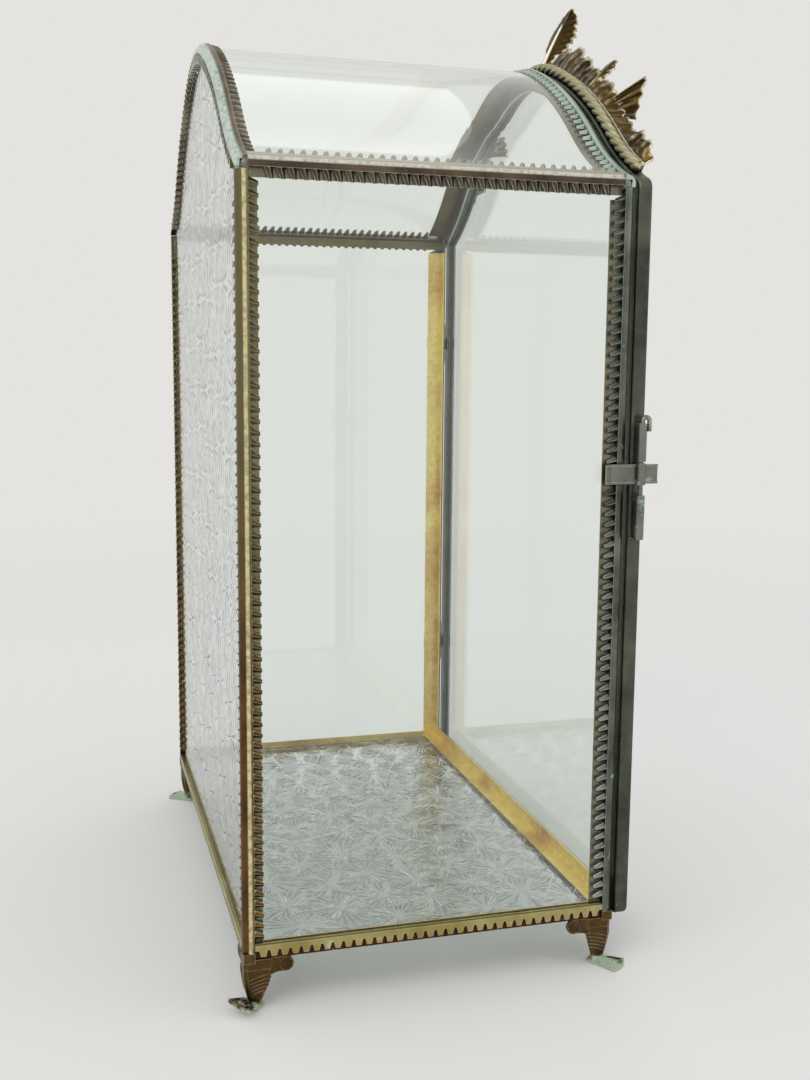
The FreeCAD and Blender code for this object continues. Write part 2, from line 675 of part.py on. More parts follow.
def foot(side, end):
    """Pressed foot: a cap and collar on the corner, two wings, a tapering leg and a flat toe.

    The toe points outward, and the one at the back left is bent, as on the real case.
    """
    rims = [rounded_square(*COLLAR_SECTION, height) for height in (APRON_FOOT, COLLAR_FOOT)]
    collar = Part.makeLoft(rims, True, True)
    cap = box((-CAP_PROUD, -CAP_PROUD, CAP_FOOT), (CAP_WIDTH, CAP_WIDTH, POST_FOOT))
    cap = cap.cut(box((0, 0, APRON_FOOT), (CAP_WIDTH, CAP_WIDTH, 0)))
    wing_x = foot_wing()
    wing_x.translate(Vector(WING_START, -WING_PROUD, 0))
    wing_y = wing_x.mirror(Vector(0, 0, 0), Vector(1, -1, 0))
    bent = (side, end) == (SIDES["left"], ENDS["back"])
    toe = foot_toe(TOE_ROLL, TOE_LIFT) if bent else foot_toe(0.0, 0.0)
    toe.rotate(Vector(0, 0, 0), Z_AXIS, 45)
    toe.translate(Vector(ANKLE_CENTRE, ANKLE_CENTRE, -FOOT_HEIGHT))
    whole = foot_leg().multiFuse([collar, cap, wing_x, wing_y, toe])
    for sign, axis in ((side, X_AXIS), (end, Y_AXIS)):
        if sign > 0:
            whole = mirrored(whole, axis)
    whole.translate(Vector(side * HALF_WIDTH, end * HALF_DEPTH, 0))
    return whole


# Door

def door_face(offset):
    """Door outline moved in by a negative offset: rounded bottom corners, rounded shoulders and the arch."""
    side = HALF_WIDTH + offset
    bottom = DOOR_BOTTOM - offset
    corner = max(DOOR_CORNER + offset, 0.0)
    shoulder = max(DOOR_SHOULDER + offset, 0.0)
    flare = GABLE.flare_centre
    reach = FLARE_RADIUS - offset
    drop = math.sqrt((reach + shoulder) ** 2 - (flare.x - side + shoulder) ** 2)
    centre = Vector(side - shoulder, 0, flare.z - drop)
    touch = flare + (centre - flare) * (reach / (reach + shoulder))
    lean = math.atan2(flare.x - touch.x, flare.z - touch.z)
    start = FLARE_RADIUS * (lean - GABLE.eave_angle)
    edges = GABLE.edges(offset, start, GABLE.length - start)
    edges.append(Part.makeLine(Vector(corner - side, 0, bottom), Vector(side - corner, 0, bottom)))
    for sign in SIDES.values():
        def place(x, z):
            return Vector(sign * x, 0, z)
        edges.append(Part.makeLine(place(side, bottom + corner), place(side, centre.z)))
        if shoulder > 0:
            bulge = ((touch - centre) + X_AXIS * shoulder).normalize() * shoulder + centre
            ends = (place(side, centre.z), place(touch.x, touch.z))
            edges.append(Part.Arc(ends[0], place(bulge.x, bulge.z), ends[1]).toShape())
        if corner > 0:
            inset = corner * (1 - math.sqrt(0.5))
            edges.append(Part.Arc(place(side - corner, bottom), place(side - inset, bottom + inset),
                                  place(side, bottom + corner)).toShape())
    return closed_face(edges)


def door_slab(offset, low, high):
    """Door outline between two depths behind its front."""
    face = door_face(offset)
    face.translate(Y_AXIS * (DOOR_FRONT + low))
    return face.extrude(Y_AXIS * (high - low))


def door_frame():
    """Channel round the whole door, rounded outside and open to the pane."""
    slab = door_slab(0.0, 0.0, DOOR_THICKNESS)
    rims = [edge for edge in slab.Edges if edge.BoundBox.YLength < DOOR_SHEET]
    slab = slab.makeFillet(DOOR_EDGE_ROUND, rims)
    opening = door_slab(-DOOR_FLANGE, 0.0, DOOR_THICKNESS)
    slot = door_slab(-DOOR_SHEET, DOOR_SHEET, DOOR_SHEET + DOOR_SLOT)
    return slab.cut(opening).cut(slot)


def door_members():
    """The channel cut into two stiles, a bottom rail and an arched rail."""
    frame = door_frame()
    cut_x = HALF_WIDTH - DOOR_FLANGE
    deep = 2 * CASE_DEPTH
    tall = 2 * EAVE_HEIGHT
    return {
        "door_stile_left": frame.common(box((-CASE_WIDTH, -deep, -tall), (-cut_x, 0, tall))),
        "door_stile_right": frame.common(box((cut_x, -deep, -tall), (CASE_WIDTH, 0, tall))),
        "door_bottom_rail": frame.common(box((-cut_x, -deep, -tall), (cut_x, 0, EAVE_HEIGHT / 2))),
        "door_arch_rail": frame.common(box((-cut_x, -deep, EAVE_HEIGHT / 2), (cut_x, 0, tall))),
    }


# Hinges and latch

def barrel(x, low, high, side, radius):
    """Tube on the door's edge, with a leaf to the stile."""
    half = LEAF_SHEET / 2
    leaf = box((side * HALF_WIDTH, DOOR_MIDDLE - half, low), (x, DOOR_MIDDLE + half, high))
    tube = cylinder(x, DOOR_MIDDLE, low, high, radius)
    return leaf.fuse(tube).cut(cylinder(x, DOOR_MIDDLE, low, high, PIN_RADIUS + PIN_PLAY))


def latch_barrel(low, high):
    """Barrel of the latch on a plate that covers the door's edge."""
    half = BARREL_PLATE / 2
    plate = box((-HALF_WIDTH, DOOR_MIDDLE - half, low), (-HALF_WIDTH - LEAF_PLATE, DOOR_MIDDLE + half, high))
    return plate.fuse(barrel(-LATCH_X, low, high, SIDES["left"], LATCH_KNUCKLE_RADIUS))


def hinge_strap(height):
    """Strap soldered along the side of the front post, ending in a knuckle round the hinge pin."""
    low = height - KNUCKLE_HEIGHT / 2
    high = height + KNUCKLE_HEIGHT / 2
    strap = box((STRAP_X, DOOR_MIDDLE, low), (STRAP_X + STRAP_SHEET, DOOR_MIDDLE + STRAP_REACH, high))
    knuckle = cylinder(HINGE_X, DOOR_MIDDLE, low, high, KNUCKLE_RADIUS)
    return strap.fuse(knuckle).cut(cylinder(HINGE_X, DOOR_MIDDLE, low, high, PIN_RADIUS + PIN_PLAY))


def hinge_leaf(height):
    """Door half of a hinge: a plate on the stile with a barrel above and below the strap's knuckle."""
    near = KNUCKLE_HEIGHT / 2 + KNUCKLE_GAP
    far = near + KNUCKLE_HEIGHT
    half = LEAF_WIDTH / 2
    plate = box((HALF_WIDTH, DOOR_MIDDLE - half, height - far),
                (HALF_WIDTH + LEAF_PLATE, DOOR_MIDDLE + half, height + far))
    lower = barrel(HINGE_X, height - far, height - near, SIDES["right"], KNUCKLE_RADIUS)
    upper = barrel(HINGE_X, height + near, height + far, SIDES["right"], KNUCKLE_RADIUS)
    return plate.multiFuse([lower, upper])


def hinge_pin(height):
    """Wire pin with an upset head at each end."""
    reach = KNUCKLE_HEIGHT * 1.5 + 2 * KNUCKLE_GAP
    low = height - reach
    high = height + reach
    pin = cylinder(HINGE_X, DOOR_MIDDLE, low, high, PIN_RADIUS)
    heads = [cylinder(HINGE_X, DOOR_MIDDLE, high, high + PIN_HEAD_HEIGHT, PIN_HEAD_RADIUS),
             cylinder(HINGE_X, DOOR_MIDDLE, low - PIN_HEAD_HEIGHT, low, PIN_HEAD_RADIUS)]
    return pin.multiFuse(heads)


def latch_arm():
    """Swinging strap with rolled lips: a long arm over the post, a knuckle and a thumb tab."""
    inner = -LATCH_INNER_X
    outer = inner - STRAP_SHEET
    back = DOOR_MIDDLE + LATCH_STRAP_REACH
    front = DOOR_MIDDLE - LATCH_TAB_REACH
    bend = back - 2 * LATCH_FLARE
    turned = LATCH_FLARE

    def strip(inside, outside, low, high):
        inner_run = [(inside, front), (inside, bend), (inside - turned, back)]
        outer_run = [(outside - turned, back), (outside, bend), (outside, front)]
        outline = [Vector(x, y, low) for x, y in inner_run + outer_run]
        return polygon(outline).extrude(Z_AXIS * (high - low))

    foot_level = LATCH_HEIGHT - LATCH_STRAP_HEIGHT / 2
    head_level = LATCH_HEIGHT + LATCH_STRAP_HEIGHT / 2
    lip, proud = LATCH_LIP
    parts = [strip(inner, outer - proud, foot_level, foot_level + lip),
             strip(inner, outer - proud, head_level - lip, head_level)]
    low = LATCH_HEIGHT - LATCH_KNUCKLE_HEIGHT / 2
    high = LATCH_HEIGHT + LATCH_KNUCKLE_HEIGHT / 2
    parts.append(cylinder(-LATCH_X, DOOR_MIDDLE, low, high, LATCH_KNUCKLE_RADIUS))
    whole = strip(inner, outer, foot_level, head_level).multiFuse(parts)
    return whole.cut(cylinder(-LATCH_X, DOOR_MIDDLE, low, high, PIN_RADIUS + PIN_PLAY))


def latch_pin():
    """Wire pin through both barrels and the arm, bent over in a crook at the top."""
    top = LATCH_BARRELS["upper"][1] + PIN_RADIUS + PIN_PLAY
    front = DOOR_MIDDLE - 2 * CROOK_RADIUS
    middle = Vector(-LATCH_X, DOOR_MIDDLE - CROOK_RADIUS, top)
    section = Part.Face(Part.Wire([Part.makeCircle(PIN_RADIUS, Vector(-LATCH_X, DOOR_MIDDLE, top), Z_AXIS)]))
    crook = section.revolve(middle, X_AXIS, 180)
    stem = cylinder(-LATCH_X, DOOR_MIDDLE, LATCH_PIN_FOOT, top, PIN_RADIUS)
    end = cylinder(-LATCH_X, front, top - CROOK_LEG, top, PIN_RADIUS)
    return stem.multiFuse([crook, end])


# Crest

def crest_border():
    """Rope strip along the door's arch: a square bar twisted a step at a time."""
    first = GABLE.distance_at(-ROPE_HALF_SPAN)
    last = GABLE.length - first
    count = int((last - first) / ROPE_STEP)
    rings = []
    for i in range(count + 1):
        place = first + (last - first) * i / count
        outward = GABLE.frame(place)[1]
        centre = GABLE.point(place, ROPE_RADIUS) + Y_AXIS * (DOOR_MIDDLE + ROPE_Y)
        turns = [i * ROPE_TURN + k * math.pi / 2 for k in range(4)]
        rings.append([centre + (outward * math.cos(t) + Y_AXIS * math.sin(t)) * ROPE_RADIUS for t in turns])
    faces = [polygon(rings[0]), polygon(rings[-1])]
    for ring, following in zip(rings, rings[1:]):
        for k in range(4):
            after = (k + 1) % 4
            faces.append(polygon([ring[k], ring[after], following[k]]))
            faces.append(polygon([ring[after], following[after], following[k]]))
    return faceted_solid(faces)


def leaf(root, axis, side, widths, curl, fold):
    """Stamped leaf from a root: toothed outline, hollow across, with a raised rib.

    The tip curls and the halves fold in the direction of side x axis.
    """
    length = axis.Length
    axis = Vector(axis).normalize()
    side = (side - axis * side.dot(axis)).normalize()
    face = side.cross(axis)
    rows = []
    for i in range(LEAF_ROWS + 1):
        t = i / LEAF_ROWS
        half = along_table(widths, t) / 2 * (1 - LEAF_SERRATION * (i % 2))
        row = []
        for j in range(LEAF_COLUMNS + 1):
            s = 2.0 * j / LEAF_COLUMNS - 1.0
            rib = LEAF_RIB * (1 - t) if s == 0 else 0.0
            lift = curl * t * t + LEAF_CUP * half * s * s - rib + half * abs(s) * math.sin(fold)
            row.append(root + axis * (length * t) + side * (half * s * math.cos(fold)) + face * lift)
        rows.append(row)
    return sheet_solid(rows, face * CREST_SHEET)


def crest_centre_leaf():
    """Tall middle leaf that leans forward from the top of the arch."""
    place = GABLE.length / 2
    first = place - CENTRE_LEAF_FOOT
    foot_band = GABLE.band(*CREST_FOOT, DOOR_FRONT, DOOR_FRONT - CREST_SHEET, first, place + CENTRE_LEAF_FOOT)
    root = GABLE.point(place, RUFFLE_FOOT) + Y_AXIS * (DOOR_FRONT - CREST_SHEET / 2)
    blade = leaf(root, CENTRE_LEAF_AXIS, X_AXIS, CENTRE_LEAF_WIDTHS, CENTRE_LEAF_CURL, CENTRE_LEAF_FOLD)
    return foot_band.fuse(blade).cut(door_side())


def along_table(table, share):
    """Value at a share of the way, on straight lines between the rows of a table."""
    for (a, low), (b, high) in zip(table, table[1:]):
        if share <= b:
            return low + (high - low) * (share - a) / (b - a)
    return table[-1][1]


def door_side():
    """Space behind the front of the door, which the crest keeps out of."""
    return box((-CASE_WIDTH, DOOR_FRONT, 0), (CASE_WIDTH, 0, 2 * EAVE_HEIGHT))


def crest_ruffle(first, last):
    """Pleated strip that stands on the arch and leans forward, with a lobed upper edge."""
    count = int((last - first) / PLEAT_PITCH)
    grid = []
    for row in range(RUFFLE_ROWS + 1):
        t = row / RUFFLE_ROWS
        points = []
        for i in range(count + 1):
            share = 1.0 - i / count
            place = first + (last - first) * i / count
            lobe = 1.0 - LOBE_DIP + LOBE_DIP * abs(math.sin(math.pi * (last - place) / LOBE_LENGTH))
            height = RUFFLE_FOOT + along_table(RUFFLE_HEIGHTS, share) * lobe * t
            forward = along_table(RUFFLE_LEANS, share) * t * t + PLEAT_DEPTH * t * (i % 2)
            points.append(GABLE.point(place, height) + Y_AXIS * (DOOR_FRONT - CREST_SHEET - forward))
        grid.append(points)
    return sheet_solid(grid, Y_AXIS * CREST_SHEET)


def crest_fan():
    """Broad pleated leaf that sweeps forward from the ruffle and spreads at its end."""
    roots = []
    for x, height, lean in FAN_ROOTS:
        roots.append(GABLE.point(GABLE.distance_at(x), height) + Y_AXIS * (DOOR_FRONT - lean))
    ends = [Vector(x, DOOR_FRONT - lean, z) for x, lean, z in FAN_ENDS]
    face = (ends[0] - roots[0]).cross(ends[1] - ends[0]).normalize()
    grid = []
    for row in range(FAN_ROWS + 1):
        t = row / FAN_ROWS
        points = []
        for i in range(FAN_PLEATS + 1):
            s = i / FAN_PLEATS
            root = roots[0] + (roots[1] - roots[0]) * s
            end = ends[0] + (ends[1] - ends[0]) * s
            bow = math.sin(math.pi * t) * FAN_BOW + PLEAT_DEPTH * t * (i % 2)
            points.append(root + (end - root) * t + face * bow)
        grid.append(points)
    return sheet_solid(grid, face * -CREST_SHEET)


def crest_spray():
    """Left spray: a foot strip along the arch with a ruffle, an upright curl and a broad fan leaf."""
    first = GABLE.distance_at(RUFFLE_END_X)
    last = GABLE.length / 2 - RUFFLE_START
    strip = GABLE.band(*CREST_FOOT, DOOR_FRONT, DOOR_FRONT - CREST_SHEET, first, last)
    place = GABLE.distance_at(CURL_LEAF_X)
    root = GABLE.point(place, CREST_FOOT[1]) + Y_AXIS * (DOOR_FRONT - 2 * CREST_SHEET)
    curl = leaf(root, CURL_LEAF_AXIS, GABLE.frame(place)[0], CURL_LEAF_WIDTHS, CURL_LEAF_CURL, 0.0)
    return strip.multiFuse([crest_ruffle(first, last), crest_fan(), curl]).cut(door_side())


# Assembly

def build():
    """Every piece by its node name."""
    nodes = {
        "back_pane": back_pane(),
        "floor_pane": box((-INNER_X, -HALF_DEPTH, GLASS_FOOT), (INNER_X, INNER_BACK, FLOOR_TOP)),
        "roof_pane": GABLE.band(-CLEAR_GLASS, 0.0, -HALF_DEPTH, HALF_DEPTH),
    }
    for side_name, side in SIDES.items():
        nodes["side_pane_" + side_name] = side_pane(side)
        nodes["eave_strip_" + side_name] = eave_strip(side)
        nodes["inner_eave_" + side_name] = inner_eave(side)
        nodes["base_strip_" + side_name] = base_strip(
            HALF_DEPTH - STRIP_MARGIN, HALF_DEPTH, HALF_WIDTH, X_AXIS * side, Y_AXIS, False)
        for end_name, end in ENDS.items():
            place = end_name + "_" + side_name
            nodes["corner_post_" + place] = corner_post(side, end)
            nodes["inner_post_" + place] = inner_post(side, end)
            nodes["foot_" + place] = foot(side, end)
    inside = HALF_WIDTH - FLANGE_REACH
    for end_name, end in ENDS.items():
        nodes["gable_strip_" + end_name] = gable_strip(end)
        nodes["inner_gable_" + end_name] = inner_gable(end_name)
        nodes["base_strip_" + end_name] = base_strip(
            HALF_WIDTH - STRIP_MARGIN, inside, HALF_DEPTH, Y_AXIS * end, X_AXIS, end == ENDS["front"])
    nodes["inner_base_front"] = front_sill()
    nodes["inner_base_back"] = back_sill()
    for side_name in SIDES:
        nodes["inner_base_" + side_name] = side_sill(side_name)
    nodes["door_pane"] = door_slab(-DOOR_SHEET - PANE_PLAY, DOOR_SHEET, DOOR_SHEET + DOOR_SLOT)
    nodes.update(door_members())
    for name, height in HINGE_HEIGHTS.items():
        nodes["hinge_strap_" + name] = hinge_strap(height)
        nodes["hinge_pin_" + name] = hinge_pin(height)
        nodes["hinge_leaf_" + name] = hinge_leaf(height)
    for name, (low, high) in LATCH_BARRELS.items():
        nodes["latch_barrel_" + name] = latch_barrel(low, high)
    nodes["latch_arm"] = latch_arm()
    nodes["latch_pin"] = latch_pin()
    nodes["crest_border"] = crest_border()
    nodes["crest_centre_leaf"] = crest_centre_leaf()
    nodes["crest_spray_left"] = crest_spray()
    nodes["crest_spray_right"] = mirrored(nodes["crest_spray_left"], X_AXIS)
    return nodes


def main():
    """Builds the case, stands it on its feet about the middle of its plan and writes each piece."""
    os.makedirs("parts", exist_ok=True)
    nodes = build()
    extent = Part.makeCompound(list(nodes.values())).optimalBoundingBox(False, False)
    shift = Vector(-extent.Center.x, -extent.Center.y, -extent.ZMin)
    print("shift", shift, "size", extent.XLength, extent.YLength, extent.ZLength)
    print("hinge axis", Vector(HINGE_X, DOOR_MIDDLE, 0) + shift)
    print("latch axis", Vector(-LATCH_X, DOOR_MIDDLE, 0) + shift)
    for name, shape in nodes.items():
        shape.translate(shift)
        solids = len(shape.Solids)
        if solids != 1 or not shape.isValid():
            print("check", name, "solids", solids, "valid", shape.isValid())
        shape.exportStep("parts/" + name + ".step")


main()
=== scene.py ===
"""Looks for a table-top glass vitrine: aged brass edging, gilt strips, clear and star glass, leaf crest."""

import logging
import math
import random
from dataclasses import dataclass, field
from enum import Enum
from typing import Any, Callable, Iterable, Sequence

import bmesh
import bpy
from mathutils import Matrix, Vector, noise


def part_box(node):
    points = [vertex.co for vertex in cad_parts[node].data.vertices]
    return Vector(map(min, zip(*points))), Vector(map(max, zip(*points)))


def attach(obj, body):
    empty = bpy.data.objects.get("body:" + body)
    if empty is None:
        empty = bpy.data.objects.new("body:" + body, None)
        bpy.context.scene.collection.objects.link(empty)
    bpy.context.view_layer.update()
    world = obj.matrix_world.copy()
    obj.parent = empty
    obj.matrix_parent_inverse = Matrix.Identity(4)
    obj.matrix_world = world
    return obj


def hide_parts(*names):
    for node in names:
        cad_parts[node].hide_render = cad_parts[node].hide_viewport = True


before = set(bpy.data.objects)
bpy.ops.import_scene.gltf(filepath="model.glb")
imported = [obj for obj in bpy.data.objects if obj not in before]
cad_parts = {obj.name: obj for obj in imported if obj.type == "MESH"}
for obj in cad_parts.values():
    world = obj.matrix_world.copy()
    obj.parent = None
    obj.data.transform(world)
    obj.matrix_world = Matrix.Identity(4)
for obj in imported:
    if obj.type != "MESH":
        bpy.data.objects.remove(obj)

LOG = logging.getLogger("vitrine")
MM = 0.001
HALF_DEPTH = 66.5 * MM
HALF_WIDTH = 108.0 * MM
EAVE = 260.0 * MM
GLASS_FOOT = -1.5 * MM
# Air between a pane and the strips on it, so that light can leave the glass
PANE_GAP = 0.06 * MM
FULL_TURN = 2 * math.pi
ROOT_HALF = math.sqrt(0.5)
# Distance in metres under which the corners of a sheet are one
WELD = 0.001 * MM
# Under these a step along the gable in millimetres, a share or a side, a product of a side and a direction,
# a product of two directions and a gap in metres count as nothing
FINE = 1e-6
TINY = 1e-9
FLAT = 1e-12
PARALLEL = 1e-6
TOUCHING = 1e-7
SIDEWAYS = Vector((1.0, 0.0, 0.0))
# Signs of x and y at the corners, the corner with the bent toe, and its roll and lift in degrees
CORNERS = ((-1, -1), (-1, 1), (1, -1), (1, 1))
BENT_CORNER = (-1, 1)
BENT_TOE = (9.0, 17.0)
# Rings of the back pane's stars, whose painted light on the rays ends before the seams
BACK_RINGS = (
    (0.0, 0.0, 0.8), (0.08, 0.35, 1.0), (0.5, 0.7, 1.0), (0.75, 0.9, 0.7), (0.95, 1.0, 0.0), (1.0, 0.5, 0.0))
Point2 = tuple[float, float]
Point3 = tuple[float, float, float]
Point4 = tuple[float, float, float, float]
Table = tuple[Point2, ...]
Side = tuple[Point2, Point2]
Tree = bpy.types.NodeTree
Socket = bpy.types.NodeSocket
Piece = bpy.types.Object


class Body(Enum):
    """Rigid bodies of the vitrine that carry pieces of the scene."""

    CASE = "case"
    DOOR = "door"


class Face(Enum):
    """Which face of a pressed pane carries the stars, as the axis that it looks along."""

    UP = "up"
    BACK = "back"


@dataclass(frozen=True)
class Datum:
    """Middle of the case at the root of the base pegs, in the row frame."""

    origin: Vector

    @classmethod
    def read(cls) -> "Datum":
        """Datum found from the back pane."""
        low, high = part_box("back_pane")
        return cls(Vector((0.0, high.y - HALF_DEPTH, low.z - GLASS_FOOT)))

    def at(self, x: float, y: float, z: float) -> Vector:
        """Point given in millimetres from the datum."""
        return self.origin + Vector((x, y, z)) * MM


@dataclass
class Gable:
    """The ogee outline of the roof and the door, in millimetres from the datum.

    Distances run from the left eave to the right eave, and an offset moves the curve out of the roof.

    Attributes:
        crown_radius: Radius of the crown.
        crown_angle: Lean where the crown ends.
        haunch_radius: Radius of the haunch.
        haunch_angle: Lean where the haunch ends.
        flare_radius: Radius of the hollow flare.
        half_width: Half the width at the eaves.
        eave: Height of the eaves.
        arcs: Centre, signed radius and the leans at the ends of each arc.
        length: Length of the whole curve.
    """

    crown_radius: float = 64.0
    crown_angle: float = math.radians(20.0)
    haunch_radius: float = 172.0
    haunch_angle: float = math.radians(41.6)
    flare_radius: float = 110.0
    half_width: float = HALF_WIDTH / MM
    eave: float = EAVE / MM
    arcs: list[tuple[Vector, float, float, float]] = field(default_factory=list)
    length: float = 0.0

    def __post_init__(self) -> None:
        """Works out the arcs, from left to right."""
        haunch = self.normal(self.crown_angle) * (self.crown_radius - self.haunch_radius)
        flare = haunch + self.normal(self.haunch_angle) * (self.haunch_radius + self.flare_radius)
        lean = math.asin((flare.x - self.half_width) / self.flare_radius)
        rise = Vector((0.0, 0.0, self.eave - flare.z + self.flare_radius * math.cos(lean)))
        right = [(haunch + rise, self.haunch_radius, self.crown_angle, self.haunch_angle),
                 (flare + rise, -self.flare_radius, self.haunch_angle, lean)]
        left = [(Vector((-c.x, 0.0, c.z)), r, -end, -start) for c, r, start, end in reversed(right)]
        self.arcs = left + [(rise, self.crown_radius, -self.crown_angle, self.crown_angle)] + right
        self.length = sum(abs(r * (end - start)) for _, r, start, end in self.arcs)

    @staticmethod
    def normal(angle: float) -> Vector:
        """Direction out of the roof where it leans by an angle."""
        return Vector((math.sin(angle), 0.0, math.cos(angle)))

    def locate(self, distance: float) -> tuple[Vector, float, float]:
        """Arc at a distance.

        Args:
            distance: Distance along the curve.

        Returns:
            The arc's centre, its signed radius and the lean there.
        """
        for centre, radius, start, end in self.arcs:
            run = abs(radius * (end - start))
            if distance <= run:
                break
            distance -= run
        return centre, radius, start + (end - start) * distance / run

    def point(self, distance: float, offset: float = 0.0, y: float = 0.0) -> Vector:
        """Point on the curve, or out from it by an offset, at a place from back to front."""
        centre, radius, lean = self.locate(distance)
        return centre + self.normal(lean) * (radius + offset) + Vector((0.0, y, 0.0))

    def along(self, distance: float) -> Vector:
        """Direction along the curve."""
        lean = self.locate(distance)[2]
        return Vector((math.cos(lean), 0.0, -math.sin(lean)))

    def distance_at(self, x: float) -> float:
        """Distance along the curve at a sideways place, found by halving.

        Args:
            x: Sideways place.

        Returns:
            The distance.
        """
        low, high = 0.0, self.length
        while high - low > FINE:
            middle = (low + high) / 2
            low, high = (middle, high) if self.point(middle).x < x else (low, middle)
        return low


# Colours and nodes


def linear(code: str) -> Point4:
    """Turns an sRGB hex colour into linear RGBA.

    Args:
        code: Colour such as "#c8a24e".

    Returns:
        Linear red, green, blue and an alpha of one.
    """
    parts = [int(code[i:i + 2], 16) / 255 for i in (1, 3, 5)]
    red, green, blue = [p / 12.92 if p <= 0.04045 else ((p + 0.055) / 1.055) ** 2.4 for p in parts]
    return (red, green, blue, 1.0)


def add(tree: Tree, kind: str, inputs: dict[Any, Any] | None = None, **settings: Any) -> bpy.types.Node:
    """Adds a node, applies its settings and fills or links its inputs.

    Args:
        tree: Node tree that gets the node.
        kind: Node type name.
        inputs: Socket name or number to a value, or to an output socket that is linked.
        **settings: Attributes of the node.

    Returns:
        The new node.
    """
    node = tree.nodes.new(kind)
    for name, value in settings.items():
        setattr(node, name, value)
    for key, value in (inputs or {}).items():
        if isinstance(value, Socket):
            tree.links.new(value, node.inputs[key])
        else:
            node.inputs[key].default_value = value
    return node


@dataclass
class Nodes:
    """Node tree of one material, with the kinds of node that the finishes share.

    Attributes:
        tree: Tree that gets the nodes.
        datum: Datum that ridges and heights are measured from.
        place: Object coordinates.
    """

    tree: Tree
    datum: Datum
    place: Socket

    def grain(self, size: float, detail: float, roughness: float = 0.5) -> Socket:
        """Noise whose features are about a size in millimetres."""
        return add(self.tree, "ShaderNodeTexNoise", {
            "Vector": self.place, "Scale": 1.0 / (size * MM), "Detail": detail,
            "Roughness": roughness}).outputs["Fac"]

    def ramp(self, value: Socket, start: float, end: float, low: float = 0.0, high: float = 1.0,
             kind: str = "LINEAR") -> Socket:
        """Value between a start and an end, spread from low to high."""
        return add(self.tree, "ShaderNodeMapRange", {
            "Value": value, "From Min": start, "From Max": end, "To Min": low, "To Max": high},
            interpolation_type=kind).outputs["Result"]

    def number(self, operation: str, first: Any, second: Any = 0.0) -> Socket:
        """Result of an operation on numbers."""
        return add(self.tree, "ShaderNodeMath", {0: first, 1: second}, operation=operation).outputs["Value"]

    def vector(self, operation: str, first: Socket, second: Any = (0.0, 0.0, 0.0),
               output: str = "Vector") -> Socket:
        """Result of an operation on vectors."""
        node = add(self.tree, "ShaderNodeVectorMath", {0: first, 1: second}, operation=operation)
        return node.outputs[output]

    def axis(self, vector: Socket, name: str) -> Socket:
        """One axis of a vector."""
        return add(self.tree, "ShaderNodeSeparateXYZ", {"Vector": vector}).outputs[name]

    def folded(self) -> Socket:
        """Point from the datum, folded into the first octant."""
        return self.vector("ABSOLUTE", self.vector("SUBTRACT", self.place, self.datum.origin))

    def rise(self, start: float, end: float, high: float) -> Socket:
        """Spread from nothing to a high value between two heights in metres over the floor."""
        return self.ramp(self.axis(self.place, "Z"), start, end, high=high)

    def mix(self, factor: Any, first: Any, second: Any, kind: str = "MIX") -> Socket:
        """Mix of two colours, each a socket or a hex code."""
        first, second = (linear(colour) if isinstance(colour, str) else colour for colour in (first, second))
        return add(self.tree, "ShaderNodeMix", {"Factor": factor, "A": first, "B": second},
                   data_type="RGBA", blend_type=kind).outputs["Result"]

    def bump(self, height: Socket, strength: float, depth: float) -> Socket:
        """Normal over a pattern of heights."""
        return add(self.tree, "ShaderNodeBump", {
            "Height": height, "Strength": strength, "Distance": depth}).outputs["Normal"]

    def principled(self, **inputs: Any) -> Socket:
        """Surface shader. An input's name has an underscore for each space."""
        named = {name.replace("_", " "): value for name, value in inputs.items()}
        return add(self.tree, "ShaderNodeBsdfPrincipled", named).outputs["BSDF"]

    def either(self, factor: Socket, first: Socket, second: Socket) -> Socket:
        """Mix of two shaders."""
        return add(self.tree, "ShaderNodeMixShader", {0: factor, 1: first, 2: second}).outputs["Shader"]


# Finishes


@dataclass(frozen=True)
class Finish:
    """Surface of one real material.

    Attributes:
        name: Material name.
    """

    name: str

    def material(self, datum: Datum) -> bpy.types.Material:
        """Builds the material.

        Args:
            datum: Datum that ridges and heights are measured from.

        Returns:
            The finished material.
        """
        material = bpy.data.materials.new(self.name)
        material.use_nodes = True
        tree = material.node_tree
        tree.nodes.clear()
        nodes = Nodes(tree, datum, add(tree, "ShaderNodeTexCoord").outputs["Object"])
        add(tree, "ShaderNodeOutputMaterial", {"Surface": self.shader(nodes)})
        return material

    def shader(self, nodes: Nodes) -> Socket:
        """Shader of the surface, which each finish makes in its own way."""
        raise NotImplementedError


